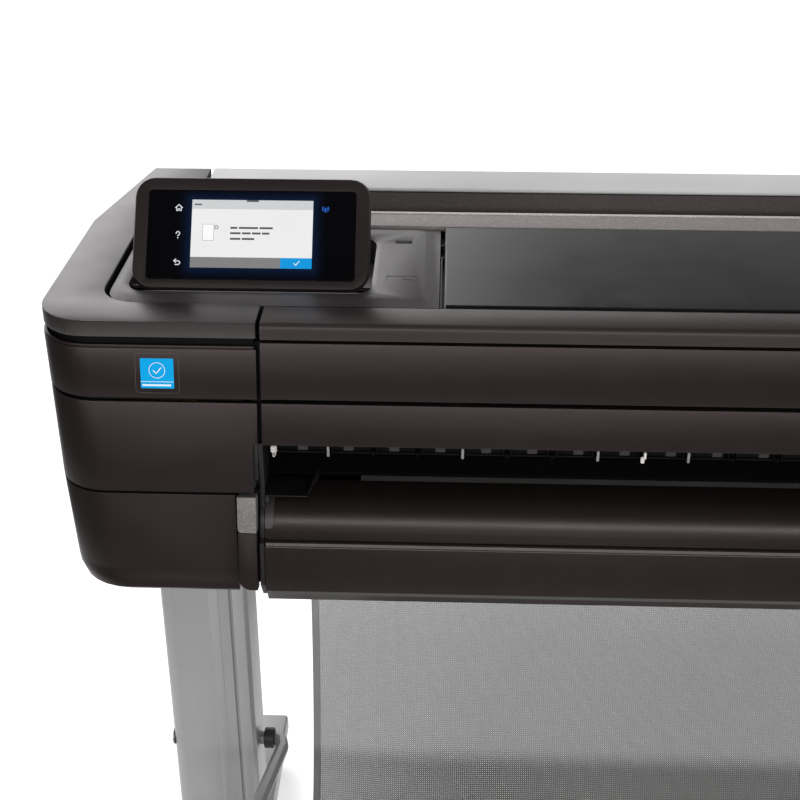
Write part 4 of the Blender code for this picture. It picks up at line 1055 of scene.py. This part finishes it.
def add_cover_trim():
    """Sealing strip under the roll cover's lower edge and the bead along its step, the bead lighter than the
    cover as a painted highlight on the step.
    """
    shape = Shape()
    low = lean_y(0.697) - 0.002
    shape.prism([(low + 0.0004, 0.6770), (low + 0.0008, 0.6735), (low + 0.0030, 0.6730),
                 (low + 0.0042, 0.6770)], "X", -0.5240, 0.5240)
    piece("cover_edge_strip", shape, [finish("strip_green_grey", (0.040, 0.042, 0.038), 0.5)], "roll_cover")
    shape = Shape()
    shape.prism([(-0.2437, 0.7142), (-0.2421, 0.7174), (-0.2405, 0.7174), (-0.2405, 0.7150)],
                "X", -0.5275, 0.5275)
    # Lighter than the cover plastic: painted highlight along the step's bevel.
    bead = finish("step_bead_painted_highlight", (0.045, 0.038, 0.037), 0.34, tint=WARM)
    piece("cover_step_bead", shape, [bead], "roll_cover")


# ---------------------------------------------------------------- media bin

BIN_HALF = 0.523
BIN_REAR = (0.018, 0.600)
BIN_FRONT = (-0.250, 0.420)
BIN_PIVOT = (0.0, 0.300)
BIN_LOW_Z = 0.215
ROD_R = 0.007
WEAVE = 0.0022
CLOTH_COLUMNS = 120
WRAP_STEPS = 14
HANG_STEPS = 40
HEM_W = 0.007


def mesh_cloth():
    """Open grid of over-and-under strands, laid out by the sheet's own measure in metres."""
    g = Graph("mesh_cloth")
    uv = g.node("ShaderNodeTexCoord").outputs["UV"]
    parts = g.node("ShaderNodeSeparateXYZ", {0: uv}).outputs

    def strand(axis):
        wave = g.math("ABSOLUTE", g.math("SINE", g.math("MULTIPLY", parts[axis], math.pi / WEAVE)))
        return g.remap(wave, 0.42, 0.60, 0.0, 1.0), wave

    across, wave_u = strand(0)
    along, wave_v = strand(1)
    knot = g.math("MULTIPLY", wave_u, wave_v)
    tone = g.mix(knot, (0.29, 0.29, 0.29, 1), (0.54, 0.54, 0.54, 1))
    fibre = g.noise(900.0, 2.0)
    g.put(g.shader, "Base Color", g.mix(g.remap(fibre, 0.3, 0.7, 0.0, 0.25), tone, (0.72, 0.72, 0.72, 1)))
    g.put(g.shader, "Roughness", 0.72)
    g.put(g.shader, "Alpha", g.math("MAXIMUM", across, along))
    g.put(g.shader, "Normal", g.bump(g.math("ADD", wave_u, wave_v), 0.0004))
    return g.mat


def sling_path():
    """Section of the cloth: round the rear rod, down, up and round the front rod."""
    wrap = ROD_R + 0.0012
    rear = arc(*BIN_REAR, wrap, 200, -75, WRAP_STEPS)
    front = arc(*BIN_FRONT, wrap, -60, -330, WRAP_STEPS)
    start, end = rear[-1], front[0]
    pulls = (start, (start[0] - 0.010, BIN_LOW_Z - 0.18), (end[0] + 0.030, BIN_LOW_Z - 0.06), end)
    hang = []
    for i in range(1, HANG_STEPS):
        t = i / HANG_STEPS
        s = 1 - t
        weights = (s ** 3, 3 * s * s * t, 3 * s * t * t, t ** 3)
        hang.append(tuple(sum(w * p[k] for w, p in zip(weights, pulls)) for k in (0, 1)))
    return [Vector(point) for point in rear + hang + front]


def cloth_wave(u, v):
    """How free the cloth hangs, and its ripple, at a share of its width and of its length."""
    free = math.sin(math.pi * min(1.0, max(0.0, (v - 0.08) / 0.84)))
    ripple = (0.0016 * free * math.sin(9 * math.pi * u + 2.0 * v)
              + 0.0010 * free * math.sin(31 * u + 5 * v))
    return free, ripple


def sling_mesh(path, lengths):
    """Sheet across the bin, with a UV map in metres."""
    bm = bmesh.new()
    layer = bm.loops.layers.uv.new("cloth")
    grid = []
    for i in range(CLOTH_COLUMNS + 1):
        u = i / CLOTH_COLUMNS
        row = []
        for point, length in zip(path, lengths):
            free, ripple = cloth_wave(u, length / lengths[-1])
            sag = 0.004 * free * math.sin(math.pi * u)
            row.append(bm.verts.new((BIN_HALF * (2 * u - 1), point.x + ripple, point.y - sag + ripple * 0.5)))
        grid.append(row)
    for i in range(CLOTH_COLUMNS):
        for k in range(len(path) - 1):
            corners = ((i, k), (i + 1, k), (i + 1, k + 1), (i, k + 1))
            face = bm.faces.new([grid[a][b] for a, b in corners])
            for loop, (a, b) in zip(face.loops, corners):
                loop[layer].uv = (2 * BIN_HALF * a / CLOTH_COLUMNS, lengths[b])
    bmesh.ops.recalc_face_normals(bm, faces=bm.faces)
    mesh = bpy.data.meshes.new("bin_sling")
    bm.to_mesh(mesh)
    bm.free()
    mesh.shade_smooth()
    return mesh


def add_hems(path, lengths):
    """Folded edge down each side of the cloth."""
    shape = Shape()
    for x in (-BIN_HALF, BIN_HALF - HEM_W):
        rings = []
        for k in range(WRAP_STEPS, len(path) - WRAP_STEPS):
            along = (path[k + 1] - path[k - 1]).normalized()
            out = Vector((-along.y, along.x)) * 0.0011
            ripple = cloth_wave((x + BIN_HALF) / (2 * BIN_HALF), lengths[k] / lengths[-1])[1]
            shift = Vector((ripple, ripple * 0.5))
            a, b = path[k] + out + shift, path[k] - out + shift
            rings.append([(x, a.x, a.y), (x + HEM_W, a.x, a.y), (x + HEM_W, b.x, b.y), (x, b.x, b.y)])
        shape.loft(rings)
    grey = finish("hem_grey", (0.26, 0.26, 0.26), 0.75, grain=0.0006, relief=0.0001)
    return piece("bin_hems", shape, [grey])


def add_bin_cloth():
    path = sling_path()
    lengths = [0.0]
    for a, b in zip(path, path[1:]):
        lengths.append(lengths[-1] + (b - a).length)
    mesh = sling_mesh(path, lengths)
    mesh.materials.append(mesh_cloth())
    item = bpy.data.objects.new("bin_sling", mesh)
    scene.collection.objects.link(item)
    thick = item.modifiers.new("Solidify", "SOLIDIFY")
    thick.thickness = 0.0006
    thick.offset = 0.0
    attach(item, "machine")
    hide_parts("bin_fabric")
    hem = add_hems(path, lengths)


def add_rod_collars():
    shape = Shape()
    for side in SIDES:
        for x, place, radius, half in ((0.545, BIN_REAR, 0.0105, 0.008), (0.572, BIN_PIVOT, 0.0110, 0.006)):
            shape.turn([(0.0072, -half), (radius, 0.001 - half), (radius, half - 0.001), (0.0072, half)],
                       (side * x, *place), "X", 20)
    piece("bin_rod_collars", shape, [FINISH_OF["caster_plastic"]])


# ---------------------------------------------------------------- stand

LEG_MIDDLE_X = 0.625
LEG_FRONT_Y = -0.0298
FOOT_MIDDLE_X = 0.6215
CASTER_Y = 0.250
CASTER_TRAIL = 0.012
WHEEL_R = 0.025


def add_stand_screws():
    shape = Shape()
    for side in SIDES:
        for z in (0.140, 0.165):
            shape.screw(side * 0.5805, 0.0, z, "X", -side, 0.0045)
        shape.turn([(0.0090, 0.0), (0.0090, side * 0.0015), (0.0, side * 0.0018)],
                   (side * 0.6742, *BIN_PIVOT), "X", 20)
        for end in SIDES:
            for z in (0.110, 0.650):
                shape.screw(side * LEG_MIDDLE_X, end * 0.03024, z, "Y", end, 0.0035)
        for y in (-0.075, 0.075):
            shape.screw(side * FOOT_MIDDLE_X, y, 0.0942, "Z", 1, 0.0050)
    piece("stand_screws", shape, [FINISH_OF["steel"]])


def add_foot_caps():
    """Cap in each end of the feet and a collar round the bottom of each leg."""
    shape = Shape()
    for side in SIDES:
        x = side * FOOT_MIDDLE_X
        for end in SIDES:
            lo, hi = sorted((end * 0.2880, end * 0.2912))
            shape.box((x - 0.0262, lo, 0.0600), (x + 0.0262, hi, 0.0700), 0.0012)
        x = side * LEG_MIDDLE_X
        shape.box((x - 0.0500, -0.0345, 0.0945), (x + 0.0500, 0.0345, 0.1010), 0.0022)
    piece("foot_caps", shape, [FINISH_OF["caster_plastic"]], bevel=0.4)


def add_brace_brackets():
    shape = Shape()
    for side in SIDES:
        lo, hi = sorted((side * 0.5818, side * 0.5560))
        for y0, y1, z0, z1 in ((-0.0195, 0.0195, 0.1150, 0.1185), (-0.0195, 0.0195, 0.1865, 0.1895),
                               (-0.0195, -0.0165, 0.1150, 0.1895), (0.0165, 0.0195, 0.1150, 0.1895)):
            shape.box((lo, y0, z0), (hi, y1, z1), 0.0008)
    piece("brace_brackets", shape, [FINISH_OF["stand_paint"]])


def add_leg_beads():
    """Shallow half-round bead down the front of each leg."""
    shape = Shape()
    for side in SIDES:
        bead = [(side * 0.6160 + 0.0055 * u, LEG_FRONT_Y - 0.0009 * v) for u, v in arc(0, 0, 1, 0, 180, 10)]
        shape.prism(bead, "Z", 0.1015, 0.6685)
    piece("leg_beads", shape, [FINISH_OF["stand_paint"]])


def add_caster_hood(name, x, y, locked):
    """Cover over the twin wheel, with a turned collar above it and a lever on a locking caster."""
    wheel_y = y + CASTER_TRAIL
    shape = Shape()
    hood = arc(wheel_y, WHEEL_R, 0.0270, 25, 200, 12) + arc(wheel_y, WHEEL_R, 0.0256, 200, 25, 12)
    shape.prism(hood, "X", x - 0.0205, x + 0.0205)
    shape.turn([(0.0150, 0.0500), (0.0175, 0.0510), (0.0175, 0.0545), (0.0110, 0.0557)], (x, y, 0), "Z", 24)
    if locked:
        lever = [(wheel_y - 0.0180, 0.0420), (wheel_y - 0.0260, 0.0360), (wheel_y - 0.0275, 0.0375),
                 (wheel_y - 0.0185, 0.0450)]
        shape.prism(lever, "X", x - 0.0100, x + 0.0100)
    piece(f"caster_hood_{name}", shape, [FINISH_OF["caster_plastic"]], f"caster_{name}_swivel", bevel=0.5)


def add_caster_hub(name, x, y):
    """Disc with five spokes on each face of the twin wheel."""
    centre = (x, y + CASTER_TRAIL, WHEEL_R)
    shape = Shape()
    for face in SIDES:
        profile = ((0.0165, 0.0188), (0.0165, 0.0196), (0.0140, 0.0199), (0.0130, 0.0193), (0.0060, 0.0193),
                   (0.0050, 0.0204), (0.0, 0.0206))
        shape.turn([(r, face * h) for r, h in profile], centre, "X", 24)
        shape.spokes((x + face * 0.0193, centre[1], WHEEL_R), "X", 5, 0.0055, 0.0135, 0.0010)
    piece(f"caster_hub_{name}", shape, [finish("hub_grey", (0.10, 0.10, 0.10), 0.45)], f"caster_{name}_wheel")


def add_casters():
    for end, place in ((-1, "front"), (1, "rear")):
        for side, word in NAMED_SIDES:
            name = f"{place}_{word}"
            add_caster_hood(name, side * FOOT_MIDDLE_X, end * CASTER_Y, end < 0)
            add_caster_hub(name, side * FOOT_MIDDLE_X, end * CASTER_Y)


# ---------------------------------------------------------------- back and underside

BACK_Y = 0.1500
BELLY_Z = 0.6484


def add_rear_screws():
    shape = Shape()
    for x in (-0.62, -0.42, -0.21, 0.21, 0.42, 0.62):
        for z in (0.860, 0.720 if abs(x) < 0.6 else 0.740):
            shape.screw(x, BACK_Y - 0.0002, z, "Y", 1, 0.0032)
    for x in (-0.30, -0.10, 0.10, 0.30):
        shape.screw(x, BACK_Y - 0.0002, 0.664, "Y", 1, 0.0032)
    piece("rear_screws", shape, [FINISH_OF["steel"]])


def add_rear_ribs():
    """Raised outline of two panels and a row of vent ribs."""
    shape = Shape()
    for x in (-0.34, 0.34):
        shape.border("Y", (x - 0.17, 0.768), (x + 0.17, 0.840), 0.002,
                     (BACK_Y - 0.0006, BACK_Y + 0.0006), 0.0003)
    shape.row(spread(-0.107, 0.028, 9), (-0.0045, BACK_Y - 0.0006, 0.694), (0.0045, BACK_Y + 0.0008, 0.766),
              0.0006)
    piece("rear_panel_ribs", shape, [FINISH_OF["dark_cover"]])


def add_rating_plate():
    shape = Shape()
    shape.box((-0.402, BACK_Y - 0.0004, 0.696), (-0.322, BACK_Y + 0.0003, 0.736), 0.0002)
    piece("rating_plate", shape, [finish("plate_silver", (0.42, 0.42, 0.41), 0.38, 0.5)])


def add_rear_sockets():
    shape = Shape()
    rim = 0.002
    for x0, x1, z0, z1 in ((-0.265, -0.249, 0.700, 0.713), (-0.240, -0.226, 0.700, 0.706)):
        shape.paint = 0
        shape.box((x0 - rim, BACK_Y - 0.0004, z0 - rim), (x1 + rim, BACK_Y + 0.0010, z1 + rim), 0.0005)
        shape.paint = 1
        shape.box((x0, BACK_Y + 0.0002, z0), (x1, BACK_Y + 0.0012, z1), 0.0003)
    piece("rear_sockets", shape, [FINISH_OF["steel"], FINISH_OF["black_plastic"]])


def add_inlet_frame():
    """Rim of the power inlet and its three pins."""
    shape = Shape()
    for x0, x1, z0, z1 in ((-0.5025, -0.4995, 0.6980, 0.7220), (-0.4728, -0.4698, 0.6980, 0.7220),
                           (-0.5025, -0.4698, 0.7195, 0.7222), (-0.5025, -0.4698, 0.6978, 0.7005)):
        shape.box((x0, BACK_Y - 0.0004, z0), (x1, BACK_Y + 0.0012, z1), 0.0006)
    for x in (-0.4915, -0.4860, -0.4805):
        shape.rod((x, 0.1340, 0.7100), (x, 0.1440, 0.7100), 0.0010, 8)
    piece("inlet_frame", shape, [FINISH_OF["black_plastic"]])


def add_underside_ribs():
    shape = Shape()
    rib = [(-0.150, BELLY_Z), (-0.150, BELLY_Z - 0.0019), (-0.145, BELLY_Z - 0.0032),
           (0.115, BELLY_Z - 0.0032), (0.120, BELLY_Z - 0.0019), (0.120, BELLY_Z)]
    for x in (0.08, 0.22, 0.36, 0.50):
        for side in SIDES:
            shape.prism(rib, "X", side * x - 0.005, side * x + 0.005)
    for x in (-0.43, -0.15, 0.15, 0.43):
        for y in (-0.120, 0.100):
            shape.screw(x, y, BELLY_Z, "Z", -1, 0.0035)
    piece("underside_ribs", shape, [FINISH_OF["steel"]])


def add_sheet_slot_parts():
    shape = Shape()
    shape.row(spread(-0.58, 0.0504, 24), (-0.0008, 0.0680, 0.8470), (0.0008, 0.0930, 0.8560), 0.0003)
    piece("sheet_guide_ribs", shape, [FINISH_OF["black_plastic"]])
    shape = Shape()
    shape.row((-0.42, 0.42), (-0.0250, 0.1480, 0.8805), (0.0250, 0.1512, 0.8860), 0.0008)
    piece("flap_hinges", shape, [FINISH_OF["black_plastic"]])


# ---------------------------------------------------------------- mechanism

COLOURS = ("cyan", "magenta", "yellow", "black")
CARRIAGE_X = 0.595
ROLL_AXIS = (-0.141, 0.703)
ROLL_END_X = 0.4573
INK_X0, INK_PITCH = -0.6775, 0.0325
BELT_Y, BELT_Z = -0.038, 0.830


def add_carriage_parts():
    """Nozzle plate, head covers, belt clamp, colour caps and the latch's finger grips."""
    shape = Shape()
    shape.box((0.5340, -0.1620, 0.7777), (0.6560, -0.0780, 0.7784), 0.0002)
    shape.row(spread(0.5480, 0.0270, 4), (0.0, -0.1130, 0.8375), (0.0210, -0.0720, 0.8396), 0.0006)
    shape.box((0.5306, -0.0670, 0.8090), (0.5345, -0.0475, 0.8360), 0.0010)
    piece("carriage_details", shape, [FINISH_OF["black_plastic"]], "carriage")
    shape = Shape()
    for i, x in enumerate(spread(0.5510, 0.0270, 4)):
        shape.paint = i
        shape.box((x, -0.1090, 0.8390), (x + 0.0150, -0.0800, 0.8402), 0.0004)
    piece("printhead_caps", shape, [FINISH_OF["ink_" + c] for c in COLOURS], "carriage")
    shape = Shape()
    shape.row(spread(CARRIAGE_X - 0.030, 0.030, 3),
              (-0.009, -0.1375, 0.8422), (0.009, -0.1340, 0.8440), 0.0006)
    piece("latch_grips", shape, [FINISH_OF["latch"]], "printhead_latch")


def add_rail_parts():
    shape = Shape()
    shape.box((-0.5300, -0.0476, 0.8500), (0.6700, -0.0472, 0.8545))
    piece("encoder_strip", shape, [finish("strip_film", (0.30, 0.31, 0.30), 0.2)])
    shape = Shape()
    for x in spread(-0.52, 0.075, 16):
        shape.screw(x, -0.0415, 0.8029, "Z", 1, 0.0024)
    piece("rail_screws", shape, [FINISH_OF["steel"]])


def add_capping_pads():
    """Wiper and four caps that seal the heads."""
    shape = Shape()
    shape.box((0.5640, -0.1500, 0.7690), (0.6400, -0.1460, 0.7712), 0.0006)
    shape.row(spread(0.5710, 0.0165, 4), (0.0, -0.1400, 0.7600), (0.0120, -0.0950, 0.7685), 0.0014)
    piece("capping_pads", shape, [FINISH_OF["roller_rubber"]], "service_station")


def add_ink_bay():
    """Walls between the cartridges, the bay's back and floor, and each cartridge's label."""
    shape = Shape()
    shape.row(spread(INK_X0 - 0.0020, INK_PITCH, 5), (-0.0008, -0.1900, 0.7640), (0.0008, -0.0780, 0.8235),
              0.0003)
    shape.box((-0.6805, -0.0785, 0.7632), (-0.5480, -0.0765, 0.8240), 0.0004)
    shape.box((-0.6805, -0.1900, 0.7620), (-0.5480, -0.0765, 0.7640), 0.0004)
    piece("ink_bay", shape, [FINISH_OF["black_plastic"]])
    paper = finish("label_paper", (0.60, 0.60, 0.58), 0.5)
    for x, colour in zip(spread(INK_X0, INK_PITCH, 4), COLOURS):
        shape = Shape()
        shape.box((x + 0.0040, -0.1962, 0.7740), (x + 0.0250, -0.1946, 0.7960), 0.0005)
        shape.paint = 1
        shape.box((x + 0.0060, -0.1975, 0.8040), (x + 0.0230, -0.1946, 0.8110), 0.0008)
        piece(f"ink_label_{colour}", shape, [paper, FINISH_OF["ink_" + colour]], f"ink_{colour}")


def add_roll_ends():
    """Wound edges and card core at the ends of the roll, and ribs on the spindle's hubs."""
    shape = Shape()
    for side in SIDES:
        centre = (side * ROLL_END_X, *ROLL_AXIS)
        for r in (0.0405, 0.0345, 0.0285):
            shape.washer(r - 0.0012, r, side * 0.0003, centre, 40)
    shape.paint = 1
    for side in SIDES:
        shape.washer(0.0128, 0.0245, side * 0.0008, (side * ROLL_END_X, *ROLL_AXIS), 36)
    core = finish("core_card", (0.30, 0.22, 0.14), 0.8)
    piece("roll_ends", shape, [FINISH_OF["paper"], core], "roll_spindle")
    shape = Shape()
    for side in SIDES:
        shape.spokes((side * (ROLL_END_X + 0.0124), *ROLL_AXIS), "X", 8, 0.0130, 0.0240, 0.0010)
    piece("spindle_ribs", shape, [FINISH_OF["caster_plastic"]], "roll_spindle")


def add_pulley_spokes():
    for name, x in (("drive_pulley", 0.652), ("idler_pulley", -0.515)):
        shape = Shape()
        shape.spokes((x, BELT_Y - 0.0063, BELT_Z), "Y", 5, 0.0030, 0.0095, 0.0008)
        shape.turn([(0.0030, -0.0070), (0.0030, -0.0055), (0.0, -0.0055)], (x, BELT_Y, BELT_Z), "Y", 12)
        piece(f"{name}_spokes", shape, [FINISH_OF["steel"]], name)


def add_small_parts():
    """Blade holder on the cutter and grip lines on the power switch."""
    shape = Shape()
    shape.box((-0.5230, -0.1872, 0.7760), (-0.5020, -0.1860, 0.7800), 0.0004)
    shape.box((-0.5150, -0.1780, 0.7845), (-0.5100, -0.1710, 0.7856), 0.0004)
    piece("cutter_details", shape, [FINISH_OF["grey_roller"]], "cutter")
    shape = Shape()
    for z in spread(0.7045, 0.0018, 3):
        shape.box((-0.4640, BACK_Y + 0.0006, z), (-0.4540, BACK_Y + 0.0014, z + 0.0007))
    piece("switch_marks", shape, [FINISH_OF["grey_roller"]], "power_switch")


def add_window_trim():
    """Pale line at each end of the smoked sheet, at its cut edge: a painted highlight along the sheet's
    edges.
    """
    shape = Shape()
    shape.row((-0.3906, 0.5276), (-0.0003, -0.1685, 0.8868), (0.0003, -0.0042, 0.8890), 0.0001)
    # Pale strip: painted highlight on the sheet's edge.
    piece("window_edge_highlight", shape, [finish("edge_painted_highlight", (0.20, 0.20, 0.20), 0.3)], "window_lid")


# ---------------------------------------------------------------- build

FINISH_OF = slot_materials()
add_studio()
dress_cad_nodes()
for build in (add_display, add_keys, add_panel_back, add_groove_liner, add_gap_strip, add_stick_mark,
              add_usb_port, add_hinge_collars, add_seam_backing, add_cheeks, add_latches, add_sticker,
              add_output_ribs, add_star_bar, add_slot_curtain, add_star_wheels, add_star_springs,
              add_slot_clip, add_platen_ribs, add_cover_sides, add_cover_trim, add_bin_cloth,
              add_rod_collars, add_stand_screws, add_foot_caps, add_brace_brackets, add_leg_beads,
              add_casters, add_rear_screws, add_rear_ribs, add_rating_plate, add_rear_sockets,
              add_inlet_frame, add_underside_ribs, add_sheet_slot_parts, add_carriage_parts, add_rail_parts,
              add_capping_pads, add_ink_bay, add_roll_ends, add_pulley_spokes, add_small_parts,
              add_window_trim):
    build()
